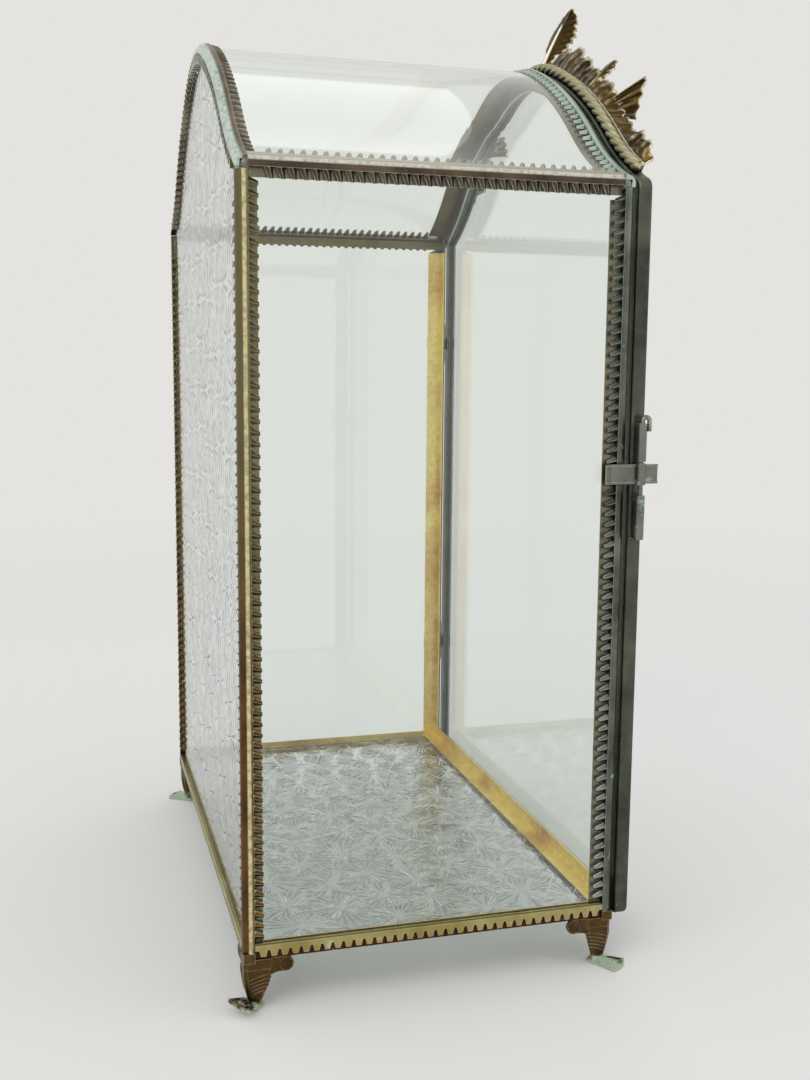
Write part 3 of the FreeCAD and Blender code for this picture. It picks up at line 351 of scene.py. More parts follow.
@dataclass(frozen=True)
class Ridge:
    """Pale line along a strip, found from the distance to it across the strip: rubbed on the eaves, a painted
    highlight on the posts and a painted reflection of the sky on the gables.

    Attributes:
        across: Direction across the ridge for a point folded into the first octant.
        level: Distance of the ridge along that direction from the datum, in metres.
        half_width: Half the width of the pale line, in metres.
        over: Line that the pale part stays over, from the middle out, as x and z in metres from the datum.
        core: Share of the half width that is fully pale.
        fade: Height over that line where the pale line is full, in metres.
    """

    across: Point3
    level: float
    half_width: float
    over: Table = ()
    core: float = 0.35
    fade: float = 0.3 * MM

    def mask(self, nodes: Nodes) -> Socket:
        """Mask of the pale line.

        Args:
            nodes: Nodes of the material.

        Returns:
            Socket with the mask.
        """
        folded = nodes.folded()
        along = nodes.vector("DOT_PRODUCT", folded, self.across, "Value")
        off = nodes.number("ABSOLUTE", nodes.number("SUBTRACT", along, self.level))
        line = nodes.ramp(off, self.half_width, self.core * self.half_width, kind="SMOOTHSTEP")
        return nodes.number("MULTIPLY", line, self._above(nodes, folded)) if self.over else line

    def _above(self, nodes: Nodes, folded: Socket) -> Socket:
        """Mask of the points over the line.

        Args:
            nodes: Nodes of the material.
            folded: Point folded into the first octant.

        Returns:
            Socket with the mask.
        """
        reach, top = self.over[-1][0], self.over[0][1]
        share = nodes.number("DIVIDE", nodes.axis(folded, "X"), reach)
        curve = add(nodes.tree, "ShaderNodeFloatCurve", {"Value": share})
        points = curve.mapping.curves[0].points
        rows = [(x / reach, z / top) for x, z in self.over]
        points[0].location, points[1].location = rows[0], rows[-1]
        for row in rows[1:-1]:
            points.new(*row)
        for point in points:
            point.handle_type = "VECTOR"
        curve.mapping.update()
        line = nodes.number("MULTIPLY", curve.outputs["Value"], top)
        return nodes.ramp(nodes.number("SUBTRACT", nodes.axis(folded, "Z"), line), 0.0, self.fade)


@dataclass(frozen=True)
class AgedBrass(Finish):
    """Rolled and stamped brass sheet, browned by age.

    It is dark olive where the lacquer stayed, gold where hands rubbed it, and pale green in damp corners.
    Its hollows carry painted shade, and the backs of fine folds and some ridge lines painted highlights.

    Attributes:
        dark: Tarnished colour.
        middle: Colour of the lighter clouds in the tarnish.
        worn_and_sheen: Colour of rubbed edges and of the eaves' rubbed ridge, and of the painted highlights
            on fold backs and on the posts' and gables' ridge lines.
        patina: Colour of the verdigris.
        roughness: Roughness of the tarnish.
        patina_share: Share of the surface with verdigris.
        wear_and_glint: Strength of the rubbed edges and of the painted glints on fold backs.
        hollow: Strength of the painted shade in the hollows, from 0 to 1.
        ridge: Pale line along the strip, if it has one.
        damp_below: Height under which verdigris gathers, in metres over the floor.
        painted_shade_behind: Colour of the painted shade on the sheet that the pegs of a comb stand before,
            or nothing.
        painted_reflection_aloft: Colour higher up, a painted reflection, and the heights over the datum where
            it starts and is full, in metres.
        creased: Whether fine folds get painted highlights on their backs and painted shade, near black, in
            their bottoms.
        cloud: Size of the clouds in the tarnish, in millimetres.
        speck: Size of the dirt specks, in millimetres.
        damp: Size of the verdigris patches, in millimetres.
        shade_reach: Reach of the painted shade in the hollows, in metres.
        edge: Width of a rubbed edge, in metres.
        comb_face: Distances out of the glass where the pegs of a comb start and are clear, in metres.
        comb_top: Heights over the datum where the sheet's upper edge starts and is clear, in metres.
    """

    dark: str
    middle: str
    worn_and_sheen: str
    patina: str
    roughness: float
    patina_share: float
    wear_and_glint: float
    hollow: float
    ridge: Ridge | None = None
    damp_below: float = 0.0
    painted_shade_behind: str = ""
    painted_reflection_aloft: tuple[str, float, float] | None = None
    creased: bool = False
    cloud: float = 18.0
    speck: float = 1.6
    damp: float = 7.0
    shade_reach: float = 2.5 * MM
    edge: float = 0.35 * MM
    comb_face: Point2 = (0.75 * MM, 0.85 * MM)
    comb_top: Point2 = (1.2 * MM, 1.6 * MM)

    def shader(self, nodes: Nodes) -> Socket:
        """Tarnished, rubbed and damp metal, with painted shade and painted highlights.

        Args:
            nodes: Nodes of the material.

        Returns:
            Socket with the shader.
        """
        clouds = nodes.grain(self.cloud, 5.0, 0.6)
        specks = nodes.grain(self.speck, 3.0)
        colour = nodes.mix(nodes.ramp(clouds, 0.35, 0.68), self.dark, self.middle)
        # Painted reflection: a different colour higher up.
        if self.painted_reflection_aloft:
            high, start, end = self.painted_reflection_aloft
            base = nodes.datum.origin.z
            colour = nodes.mix(nodes.rise(base + start, base + end, 0.85), colour, high)
        # Rubbed edges, with painted highlights on fold backs and on the posts' and gables' ridge lines.
        colour = nodes.mix(self._wear_and_sheen(nodes, specks), colour, self.worn_and_sheen)
        # Painted shade, in dark red, on the sheet that the pegs stand before.
        if self.painted_shade_behind:
            colour = self._comb(nodes, colour)
        # Painted shade: the hollows are darkened by how little open sky they see.
        sky = add(nodes.tree, "ShaderNodeAmbientOcclusion", {"Distance": self.shade_reach}, samples=6).outputs["AO"]
        colour = nodes.mix(1.0, colour, nodes.ramp(sky, 0.25, 0.8, 1.0 - self.hollow), "MULTIPLY")
        # Painted shade, near black, in the bottoms of fine folds.
        if self.creased:
            folds = add(nodes.tree, "ShaderNodeNewGeometry").outputs["Pointiness"]
            colour = nodes.mix(1.0, colour, nodes.ramp(folds, 0.38, 0.47, 0.08), "MULTIPLY")
        # The verdigris patches are broken up by finer grain.
        damp = nodes.grain(self.damp, 6.0, 0.7)
        if self.damp_below:
            damp = nodes.number("ADD", damp, nodes.rise(self.damp_below, 0.0, 0.34))
        dry = 0.72 - 0.4 * self.patina_share
        patina = nodes.ramp(damp, dry, dry + 0.12, kind="SMOOTHSTEP")
        rough = nodes.ramp(specks, 0.0, 1.0, self.roughness - 0.12, self.roughness + 0.14)
        return nodes.principled(
            Base_Color=nodes.mix(patina, colour, self.patina),
            Metallic=nodes.ramp(patina, 0.0, 1.0, 1.0, 0.25),
            Roughness=nodes.number("MAXIMUM", rough, patina),
            Normal=nodes.bump(specks, 0.25, 0.12 * MM))

    def _comb(self, nodes: Nodes, colour: Socket) -> Socket:
        """Paints dark red shade on the sheet that the pegs of a comb stand before, apart from the comb.

        Args:
            nodes: Nodes of the material.
            colour: Colour of the comb.

        Returns:
            Socket with the colour.
        """
        out = nodes.vector("SUBTRACT", nodes.folded(), (HALF_WIDTH, HALF_DEPTH, 0.0))
        proud = nodes.number("MAXIMUM", nodes.axis(out, "X"), nodes.axis(out, "Y"))
        # The sheet's face is 0.7 mm out, with the pegs before it. Its upper edge has the comb's colour.
        pegs = nodes.ramp(proud, *self.comb_face)
        start, end = (nodes.datum.origin.z + height for height in self.comb_top)
        shown = nodes.number("MAXIMUM", pegs, nodes.rise(start, end, 1.0))
        return nodes.mix(shown, self.painted_shade_behind, colour)

    def _wear_and_sheen(self, nodes: Nodes, grain: Socket) -> Socket:
        """Mask of the rubbed sharp edges, of the painted highlights on the backs of folds, and of the ridge
        line if there is one.

        Args:
            nodes: Nodes of the material.
            grain: Noise that breaks up the rubbed edges and the painted highlights.

        Returns:
            Socket with the mask.
        """
        rounded = add(nodes.tree, "ShaderNodeBevel", {"Radius": self.edge}, samples=4).outputs["Normal"]
        facing = add(nodes.tree, "ShaderNodeNewGeometry").outputs
        turned = nodes.vector("DOT_PRODUCT", rounded, facing["Normal"], "Value")
        mask = nodes.ramp(turned, 0.98, 0.8, high=self.wear_and_glint)
        # Painted highlights on the backs of fine folds.
        if self.creased:
            backs = nodes.ramp(facing["Pointiness"], 0.508, 0.56, high=self.wear_and_glint)
            mask = nodes.number("MAXIMUM", mask, backs)
        if self.ridge:
            mask = nodes.number("MAXIMUM", mask, self.ridge.mask(nodes))
        return nodes.number("MULTIPLY", mask, nodes.ramp(grain, 0.3, 0.6, 0.45))


@dataclass(frozen=True)
class GiltBrass(Finish):
    """Smooth gilt brass strip, kept bright inside the glass.

    It gleams like soft gold, with coppery clouds, slow dents and dull finger marks.

    Attributes:
        gold: Colour of the sound gilding.
        copper: Colour of the thin, reddish places.
        roughness: Roughness of the sound gilding.
        cloud: Length of the thin places, in millimetres.
        speck: Size of the dull specks, in millimetres.
        dent: Depth of the slow dents, in metres.
    """

    gold: str
    copper: str
    roughness: float
    cloud: float = 30.0
    speck: float = 2.2
    dent: float = 0.4 * MM

    def shader(self, nodes: Nodes) -> Socket:
        """Gilt metal with thin places and dull specks.

        Args:
            nodes: Nodes of the material.

        Returns:
            Socket with the shader.
        """
        clouds = nodes.grain(self.cloud, 5.0, 0.65)
        specks = nodes.grain(self.speck, 4.0)
        colour = nodes.mix(nodes.ramp(clouds, 0.46, 0.7), self.gold, self.copper)
        colour = nodes.mix(1.0, colour, nodes.ramp(specks, 0.35, 0.7, 1.0, 0.84), "MULTIPLY")
        rough = nodes.ramp(specks, 0.0, 1.0, self.roughness - 0.1, self.roughness + 0.18)
        return nodes.principled(
            Base_Color=colour, Metallic=1.0, Roughness=rough, Normal=nodes.bump(clouds, 0.3, self.dent))


@dataclass(frozen=True)
class SodaGlass(Finish):
    """Drawn soda-lime sheet glass.

    It is nearly clear with a faint green edge, slow waves from the drawing and a film of dusty smears.

    Attributes:
        tint: Colour of the light that comes through.
        smear: Roughness in the dusty smears.
        wave: Depth of the slow waves, in metres.
        painted_ray_light: Strength of the painted glints and painted shade along the pressed rays that the
            pane marks, from 0 to 1.
        ray_shade_and_glint: Colours of the painted shade and the painted glints on the rays.
        refraction: Refractive index.
        smear_size: Size of the smears, in millimetres.
        wave_length: Length of the waves, in millimetres.
        gleam: Length of the gleams on the rays, in millimetres.
    """

    tint: str
    smear: float
    wave: float
    painted_ray_light: float = 0.0
    ray_shade_and_glint: tuple[str, str] = ("#363d3c", "#fcfdfd")
    refraction: float = 1.52
    smear_size: float = 40.0
    wave_length: float = 60.0
    gleam: float = 4.0

    def shader(self, nodes: Nodes) -> Socket:
        """Glass that lamps shine through, as they do through thin sheet.

        Args:
            nodes: Nodes of the material.

        Returns:
            Socket with the shader.
        """
        rough = nodes.ramp(nodes.grain(self.smear_size, 6.0, 0.7), 0.5, 0.8, high=self.smear)
        waves = nodes.bump(nodes.grain(self.wave_length, 1.0), 1.0, self.wave)
        tint = linear(self.tint)
        glass = nodes.principled(
            Base_Color=tint, Roughness=rough, IOR=self.refraction, Transmission_Weight=1.0, Normal=waves)
        # A pressed pane gets painted glints and painted shade on its rays.
        if self.painted_ray_light:
            glass = self._paint_ray_light(nodes, glass)
        clear = add(nodes.tree, "ShaderNodeBsdfTransparent", {"Color": tint}).outputs["BSDF"]
        return nodes.either(add(nodes.tree, "ShaderNodeLightPath").outputs["Is Shadow Ray"], glass, clear)

    def _paint_ray_light(self, nodes: Nodes, glass: Socket) -> Socket:
        """Adds a matt film of painted light on the pressed rays: painted glints on their crests and painted
        shade on their flanks.

        Args:
            nodes: Nodes of the material.
            glass: Shader of the glass.

        Returns:
            Socket with the shader.
        """
        marked = add(nodes.tree, "ShaderNodeAttribute", attribute_name="painted_ray_light").outputs["Fac"]
        # A mark below zero stays dark, as painted shade.
        crest = nodes.number("ADD", nodes.grain(self.gleam, 2.0), marked)
        colour = nodes.mix(nodes.ramp(crest, 0.95, 1.1), *self.ray_shade_and_glint)
        ray_shade_and_glint = add(nodes.tree, "ShaderNodeBsdfDiffuse", {"Color": colour}).outputs["BSDF"]
        share = nodes.number("MULTIPLY", nodes.number("ABSOLUTE", marked), self.painted_ray_light)
        return nodes.either(share, glass, ray_shade_and_glint)


@dataclass(frozen=True)
class StudioPaper(Finish):
    """Matt pale paper that the vitrine stands on. It shows the shadow, then melts into the surroundings.

    Attributes:
        colour: Colour of the paper.
        around: Colour of the surroundings.
        fade: Distances from the middle where the paper starts and ends melting, in metres.
        mottle: Size of the pulp's mottle, in millimetres.
    """

    colour: str
    around: str
    fade: Point2 = (0.35, 1.3)
    mottle: float = 3.0

    def shader(self, nodes: Nodes) -> Socket:
        """Paper near the vitrine, and the colour of the surroundings far from it.

        Args:
            nodes: Nodes of the material.

        Returns:
            Socket with the shader.
        """
        pulp = nodes.bump(nodes.grain(self.mottle, 2.0), 0.1, 0.1 * MM)
        paper = nodes.principled(
            Base_Color=linear(self.colour), Roughness=0.95, Specular_IOR_Level=0.0, Normal=pulp)
        glow = add(nodes.tree, "ShaderNodeEmission", {"Color": linear(self.around), "Strength": 1.0})
        far = nodes.vector("LENGTH", nodes.place, output="Value")
        return nodes.either(nodes.ramp(far, *self.fade, kind="SMOOTHSTEP"), paper, glow.outputs["Emission"])


def gable_line(inset: float, steps: int) -> Table:
    """Line inside the gable's curve, from the crown to the eave.

    Args:
        inset: Distance inside the curve, in millimetres.
        steps: Steps along the line.

    Returns:
        Points of the line, as x and z in metres from the datum.
    """
    gable = Gable()
    points = [gable.point(gable.length * (0.5 + k / (2 * steps)), -inset) for k in range(steps + 1)]
    return tuple((p.x * MM, p.z * MM) for p in points)


# The posts' pale line is a painted highlight, set 1.8 mm off the crown towards the side pane.
POST_RIDGE = Ridge((ROOT_HALF, -ROOT_HALF, 0.0), (HALF_WIDTH - HALF_DEPTH) * ROOT_HALF + 1.8 * MM, 0.8 * MM)
EAVE_RIDGE = Ridge((-0.55, 0.0, 0.83), 0.83 * EAVE - 0.55 * HALF_WIDTH, 1.2 * MM)
# The gable's ridge ends 2.4 mm inside its curve, where the teeth start. Its pale line is a painted reflection
# of the sky.
GABLE_RIDGE = Ridge((0.0, 1.0, 0.0), HALF_DEPTH + 0.6 * MM, 1.9 * MM, gable_line(2.4, 24))
DAMP_FOOT = 8.0 * MM

# Each aged brass has the colours of its tarnish, clouds, rubbed edges and painted highlights, and verdigris,
# then its roughness, and the strengths of its verdigris, its rubbed edges and painted glints, and the painted
# shade in its hollows.
# The posts turn from red-brown low down to olive-grey higher up; the red-brown low down is partly a painted
# reflection of a red cloth.
POST_BRASS = AgedBrass(
    "aged_brass_post", "#452c1a", "#74552f", "#ddd6a4", "#a9b08c", 0.32, 0.08, 0.85, 0.94, POST_RIDGE,
    painted_reflection_aloft=("#726c50", 80.0 * MM, 200.0 * MM))
DOOR_POST_BRASS = AgedBrass(
    "aged_brass_door_post", "#4b4e43", "#7b8072", "#d0dbd0", "#a9c2b3", 0.34, 0.25, 0.95, 0.95)
# The eave's top band is painted pale grey, a painted highlight where it faces up.
EAVE_BRASS = AgedBrass(
    "aged_brass_eave", "#42382c", "#6d6150", "#e4e3d5", "#c0c8b8", 0.32, 0.15, 0.95, 0.7, EAVE_RIDGE,
    painted_reflection_aloft=("#bdbcae", 259.4 * MM, 260.8 * MM))
GABLE_BRASS = AgedBrass(
    "aged_brass_gable", "#4f4335", "#857763", "#d9ebe2", "#c4d4c2", 0.33, 0.1, 0.8, 0.95, GABLE_RIDGE)
# The front gable is pale mint all over, a painted reflection of the sky.
FRONT_GABLE_PAINTED_SHEEN = AgedBrass(
    "aged_brass_front_gable_painted_sheen", "#a3b1a6", "#c5d4ca", "#e8f2ec", "#d3e4da", 0.33, 0.3, 0.8, 0.98)
# The sheet that the base's pegs stand before gets a painted shade in dark red.
BASE_BRASS = AgedBrass(
    "aged_brass_base", "#9a8c50", "#b9b079", "#eeebca", "#c3d5b6", 0.32, 0.3, 0.9, 0.75, painted_shade_behind="#4d2a20")
DOOR_BRASS = AgedBrass("aged_brass_door", "#43463e", "#656a5e", "#aaa98d", "#8fae9f", 0.36, 0.12, 0.8, 0.5)
# The crest, its leaf and the rope get painted highlights on the backs of their fine folds and painted shade
# in the bottoms.
CREST_BRASS = AgedBrass(
    "gilt_bronze_crest", "#34260f", "#755c2b", "#e6e2c6", "#b4c4b4", 0.27, 0.12, 1.0, 0.97, creased=True)
LEAF_BRASS = AgedBrass(
    "gilt_bronze_leaf", "#171008", "#3c2e18", "#c9bd92", "#b4c4b4", 0.28, 0.1, 1.0, 0.9, creased=True)
ROPE_BRASS = AgedBrass(
    "gilt_brass_rope", "#b3ab82", "#d2caa6", "#f6f3df", "#d3dac4", 0.3, 0.08, 0.8, 0.98, creased=True)
FOOT_BRASS = AgedBrass(
    "stamped_brass_foot", "#402e1c", "#6b5535", "#dccda0", "#b3c4ac", 0.34, 0.10, 0.9, 0.92,
    damp_below=DAMP_FOOT)
# The relief is a paler copy of the foot's brass, a painted highlight on its ribs and rings.
RELIEF_PAINTED_HIGHLIGHT = AgedBrass(
    "stamped_brass_relief_painted_highlight", "#4d3a24", "#80694a", "#e6dfc6", "#bccdb6", 0.28, 0.12, 0.9, 0.8,
    damp_below=DAMP_FOOT)
FITTING_BRASS = AgedBrass(
    "aged_brass_fitting", "#66675f", "#8c8d84", "#dadbcf", "#a9d3c3", 0.34, 0.4, 1.0, 0.65)
SOLDER = AgedBrass("soft_solder", "#6f6d64", "#98968c", "#cfd0c6", "#b9c9bd", 0.42, 0.2, 0.6, 0.4)
GILT_STRIP = GiltBrass("gilt_brass_strip", "#fbe794", "#dcae62", 0.34)
DULL_STRIP = GiltBrass("gilt_brass_dulled", "#7f784e", "#625438", 0.36)
CLEAR_GLASS = SodaGlass("soda_glass_clear", "#fafdfb", 0.05, 0.02 * MM)
# Pressed glass with painted glints and painted shade on its rays.
STAR_GLASS = SodaGlass("soda_glass_pressed", "#edf2f0", 0.04, 0.01 * MM, 0.9)
PAPER = StudioPaper("studio_paper", "#eeedea", "#e4e3e0")


@dataclass
class FinishShelf:
    """Makes each finish once and hands it out.

    Attributes:
        datum: Datum of the case.
        made: Materials made so far.
    """

    datum: Datum
    made: dict[str, bpy.types.Material] = field(default_factory=dict)

    def dress(self, piece: Piece, finish: Finish) -> None:
        """Puts a finish into every slot of a piece.

        Args:
            piece: Mesh object.
            finish: Finish that it gets.
        """
        if finish.name not in self.made:
            self.made[finish.name] = finish.material(self.datum)
        material = self.made[finish.name]
        if not piece.material_slots:
            piece.data.materials.append(material)
        for slot in piece.material_slots:
            slot.material = material


# Meshes


def mesh_piece(name: str, points: Sequence[Vector], faces: Iterable[Sequence[int]], smooth: bool) -> Piece:
    """Makes a mesh object in the scene.

    Args:
        name: Piece name.
        points: Vertices in the row frame.
        faces: Vertex numbers of each face.
        smooth: Whether its faces are shaded smooth.

    Returns:
        The new object.
    """
    mesh = bpy.data.meshes.new(name)
    mesh.from_pydata([tuple(p) for p in points], [], [tuple(f) for f in faces])
    mesh.validate()
    for polygon in mesh.polygons:
        polygon.use_smooth = smooth
    piece = bpy.data.objects.new(name, mesh)
    bpy.context.scene.collection.objects.link(piece)
    return piece


def shares(steps: int) -> list[float]:
    """Shares of the way at the ends of even steps, from 0 to 1."""
    return [k / steps for k in range(steps + 1)]


def circle(sides: int) -> list[float]:
    """Angles of the corners of a round section."""
    return [FULL_TURN * k / sides for k in range(sides)]


@dataclass
class Builder:
    """Points and faces of one piece, gathered part by part, with a mark on some points."""

    points: list[Vector] = field(default_factory=list)
    faces: list[list[int]] = field(default_factory=list)
    marks: dict[int, float] = field(default_factory=dict)

    def grid(self, rows: Sequence[Sequence[Vector]], around: bool = False) -> None:
        """Adds a sheet of quads over rows of points.

        Args:
            rows: Rows with the same number of points.
            around: Whether each row closes on itself, which makes a closed bar.
        """
        first = len(self.points)
        count = len(rows[0])
        for row in rows:
            self.points.extend(row)
        for i in range(len(rows) - 1):
            for j in range(count if around else count - 1):
                a = first + i * count + j
                b = first + i * count + (j + 1) % count
                self.faces.append([a, b, b + count, a + count])
        if around:
            last = len(self.points) - count
            self.faces.append([first + k for k in reversed(range(count))])
            self.faces.append([last + k for k in range(count)])

    def sheet(self, rows: int, columns: int, at: Callable[[float, float], Vector]) -> None:
        """Adds a sheet of quads from its points by the shares of the way up and along it."""
        self.grid([[at(t, s) for s in shares(columns)] for t in shares(rows)])

    def tube(self, path: Sequence[Vector], radii: Sequence[float], sides: int) -> None:
        """Adds a closed round bar along a path.

        Args:
            path: Points of its middle line.
            radii: Radius at each point.
            sides: Sides of its section.
        """
        # Any direction that no path runs along
        across = Vector((0.3, 0.5, 0.81))
        turns = circle(sides)
        rows = []
        for i, middle in enumerate(path):
            along = (path[min(i + 1, len(path) - 1)] - path[max(i - 1, 0)]).normalized()
            across = (across - along * across.dot(along)).normalized()
            other = along.cross(across)
            rows.append([middle + (across * math.cos(a) + other * math.sin(a)) * radii[i] for a in turns])
        self.grid(rows, around=True)

    def mirror(self) -> "Builder":
        """Copy mirrored through the middle of the case."""
        points = [Vector((-p.x, p.y, p.z)) for p in self.points]
        return Builder(points, [list(reversed(face)) for face in self.faces])


# Glass


@dataclass
class SheetPane:
    """Pane of clear sheet glass with a hair of air round it.

    Attributes:
        node: Node that the pane stands for.
        body: Body that it rides on.
        sharpest: Angle between faces from which an edge stays sharp, in degrees.
    """

    node: str
    body: Body
    sharpest: float = 35.0

    def build(self, shelf: FinishShelf) -> None:
        """Builds the pane and puts it in the node's place.

        Args:
            shelf: Finishes.
        """
        sheet = bmesh.new()
        sheet.from_mesh(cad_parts[self.node].data)
        bmesh.ops.remove_doubles(sheet, verts=sheet.verts, dist=WELD)
        sheet.normal_update()
        sheet.verts.index_update()
        points = [vert.co - vert.normal * (vert.calc_shell_factor() * PANE_GAP) for vert in sheet.verts]
        faces = [[vert.index for vert in face.verts] for face in sheet.faces]
        sheet.free()
        pane = mesh_piece(self.node + "_sheet", points, faces, True)
        pane.data.set_sharp_from_angle(angle=math.radians(self.sharpest))
        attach(pane, self.body.value)
        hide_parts(self.node)
        shelf.dress(pane, CLEAR_GLASS)
        LOG.info("%s: clear sheet", pane.name)


@dataclass
class Cell:
    """Cell of one star, from its centre: seams half way to its neighbours, and sides of the pane.

    Attributes:
        seams: Direction and distance of each seam.
        sides: Ends of each side near the star.
    """

    seams: list[Point3]
    sides: list[Point4]

    def reach(self, angle: float) -> float:
        """Distance to the edge of the cell.

        Args:
            angle: Direction from the star.

        Returns:
            The distance, in metres.
        """
        ux, uy = math.cos(angle), math.sin(angle)
        best = 1.0
        for nx, ny, level in self.seams:
            lean = ux * nx + uy * ny
            if lean > TINY:
                best = min(best, level / lean)
        for ax, ay, bx, by in self.sides:
            dx, dy = bx - ax, by - ay
            cross = ux * dy - uy * dx
            if abs(cross) > FLAT:
                along = (ax * dy - ay * dx) / cross
                share = (ax * uy - ay * ux) / cross
                if along > 0 and -TINY <= share <= 1 + TINY:
                    best = min(best, along)
        return best

    def corners(self) -> list[float]:
        """Directions of the corners, where two of the cell's lines cross on its edge.

        Returns:
            Angles from the star.
        """
        found = []
        lines = list(self.seams)
        for ax, ay, bx, by in self.sides:
            length = math.hypot(bx - ax, by - ay)
            if length > TINY:
                nx, ny = (by - ay) / length, (ax - bx) / length
                lines.append((nx, ny, ax * nx + ay * ny))
        for i, (ax, ay, a) in enumerate(lines):
            for bx, by, b in lines[i + 1:]:
                cross = ax * by - ay * bx
                if abs(cross) > PARALLEL:
                    x, y = (a * by - b * ay) / cross, (b * ax - a * bx) / cross
                    angle = math.atan2(y, x)
                    if abs(math.hypot(x, y) - self.reach(angle)) < TOUCHING:
                        found.append(angle)
        return found


@dataclass
class StarPane:
    """Pane of pressed glass whose stars of fine rays meet along straight seams, with painted glints and
    painted shade on the rays.

    Attributes:
        node: Node that the pane stands for.
        face: Face with the stars.
        seed: Seed of the star places.
        spacing: Mean distance between stars, in metres.
        row_gap: Distance between rows of stars, as a share of the spacing.
        slack: How far a star strays from its place in the rows, likewise.
        near: How near a star and a side of the pane must be to bound a star's cell, likewise.
        rays: Rays of one star.
        disc: Radius of a star's plain centre, in metres.
        relief: Depth of the furrows between the rays, in metres.
        rings: Share of the way from the disc to the seam, share of the depth there, and painted light on the
            rays.
        disc_limit: Largest share of the way to the seam that the disc takes.
        dull: Share of the rays that show no painted light.
        bright: Painted light of the faintest and the brightest of the other rays.
        faintest: Painted light of the faintest star, as a share of the clearest one's.
        upright: Share of its painted light that a ray keeps if it doesn't lie level.
        level: Cosines of a ray's lean where it starts to count as level, and where it is level.
        shaded: Share of the rays that get painted shade instead of a painted glint.
        crest: Half the width of the painted light on a ray, as a share of half the ray.
    """

    node: str
    face: Face
    seed: int
    spacing: float = 20.5 * MM
    row_gap: float = 0.87
    slack: float = 0.2
    near: Point2 = (2.4, 1.5)
    rays: int = 28
    disc: float = 2.0 * MM
    relief: float = 0.09 * MM
    rings: tuple[Point3, ...] = (
        (0.0, 0.0, 0.0), (0.08, 0.35, 1.0), (0.45, 0.7, 0.9), (0.9, 1.0, 0.6), (1.0, 0.5, 0.3))
    disc_limit: float = 0.4
    dull: float = 0.2
    bright: Point2 = (0.5, 1.0)
    faintest: float = 1.0
    upright: float = 1.0
    level: Point2 = (0.85, 0.95)
    shaded: float = 0.0
    crest: float = 1.0

    def build(self, shelf: FinishShelf) -> None:
        """Builds the pane and puts it in the node's place.

        Args:
            shelf: Finishes.
        """
        outline = self._outline()
        sides = list(zip(outline, outline[1:] + outline[:1]))
        stars = self._stars(outline, sides)
        made = Builder()
        chance = random.Random(self.seed)
        for centre in stars:
            self._star(centre, self._cell(centre, stars, sides), self._gleams(chance), made)
        self._slab(outline, made)
        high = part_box(self.node)[1]
        points = [self._place(p, high) for p in made.points]
        pane = mesh_piece(self.node + "_stars", points, made.faces, False)
        # Painted glints and painted shade of the rays, for the glass's shader.
        ray_light = pane.data.attributes.new("painted_ray_light", "FLOAT", "POINT")
        for number, value in made.marks.items():
            ray_light.data[number].value = value
        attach(pane, Body.CASE.value)
        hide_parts(self.node)
        shelf.dress(pane, STAR_GLASS)
        LOG.info("%s: %d stars, %d faces", pane.name, len(stars), len(made.faces))

    def _place(self, point: Vector, high: Vector) -> Vector:
        """Point of the pane from its two sheet directions and its depth under the star face.

        Args:
            point: Sheet directions and depth.
            high: Upper corner of the node's box.

        Returns:
            The point, in the row frame.
        """
        if self.face is Face.UP:
            return Vector((point.x, point.y, high.z - PANE_GAP + point.z))
        return Vector((-point.x, high.y - PANE_GAP + point.z, point.y))

    def _outline(self) -> list[Point2]:
        """Outline of the pane in its sheet directions, anticlockwise, a hair inside the node's.

        Returns:
            Corners of the outline.
        """
        low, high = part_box(self.node)
        gap = PANE_GAP
        if self.face is Face.UP:
            left, front, right, back = low.x + gap, low.y + gap, high.x - gap, high.y - gap
            return [(left, front), (right, front), (right, back), (left, back)]
        found = {(round(-v.co.x, 6), round(v.co.z, 6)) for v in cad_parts[self.node].data.vertices}
        top = sorted((p for p in found if p[1] > low.z + 0.1 * MM), key=lambda p: -p[0])
        inner = [(min(max(x, low.x + gap), high.x - gap), z - gap) for x, z in top]
        return [(low.x + gap, low.z + gap), (high.x - gap, low.z + gap)] + inner

    def _stars(self, outline: list[Point2], sides: list[Side]) -> list[Point2]:
        """Star places: a slack hexagonal lattice inside the outline.

        Args:
            outline: Corners of the pane.
            sides: Ends of its sides.

        Returns:
            Star centres.
        """
        chance = random.Random(self.seed)
        row_gap = self.row_gap * self.spacing
        shake = self.slack * self.spacing
        xs, ys = zip(*outline)
        stars = []
        row = 0
        y = min(ys) - row_gap / 2
        while y < max(ys) + row_gap:
            x = min(xs) - self.spacing * (0.5 if row % 2 else 1.0)
            while x < max(xs) + self.spacing:
                star = (x + chance.uniform(-shake, shake), y + chance.uniform(-shake, shake))
                if self._inside(star, sides):
                    stars.append(star)
                x += self.spacing
            y += row_gap
            row += 1
        return stars

    @staticmethod
    def _inside(point: Point2, sides: list[Side]) -> bool:
        """Whether a point is inside the pane, by counting the sides that it has on its right.

        Args:
            point: The point.
            sides: Ends of the pane's sides.

        Returns:
            Whether it is inside.
        """
        x, y = point
        level = [side for side in sides if (side[0][1] > y) != (side[1][1] > y)]
        return sum(x < ax + (bx - ax) * (y - ay) / (by - ay) for (ax, ay), (bx, by) in level) % 2 == 1

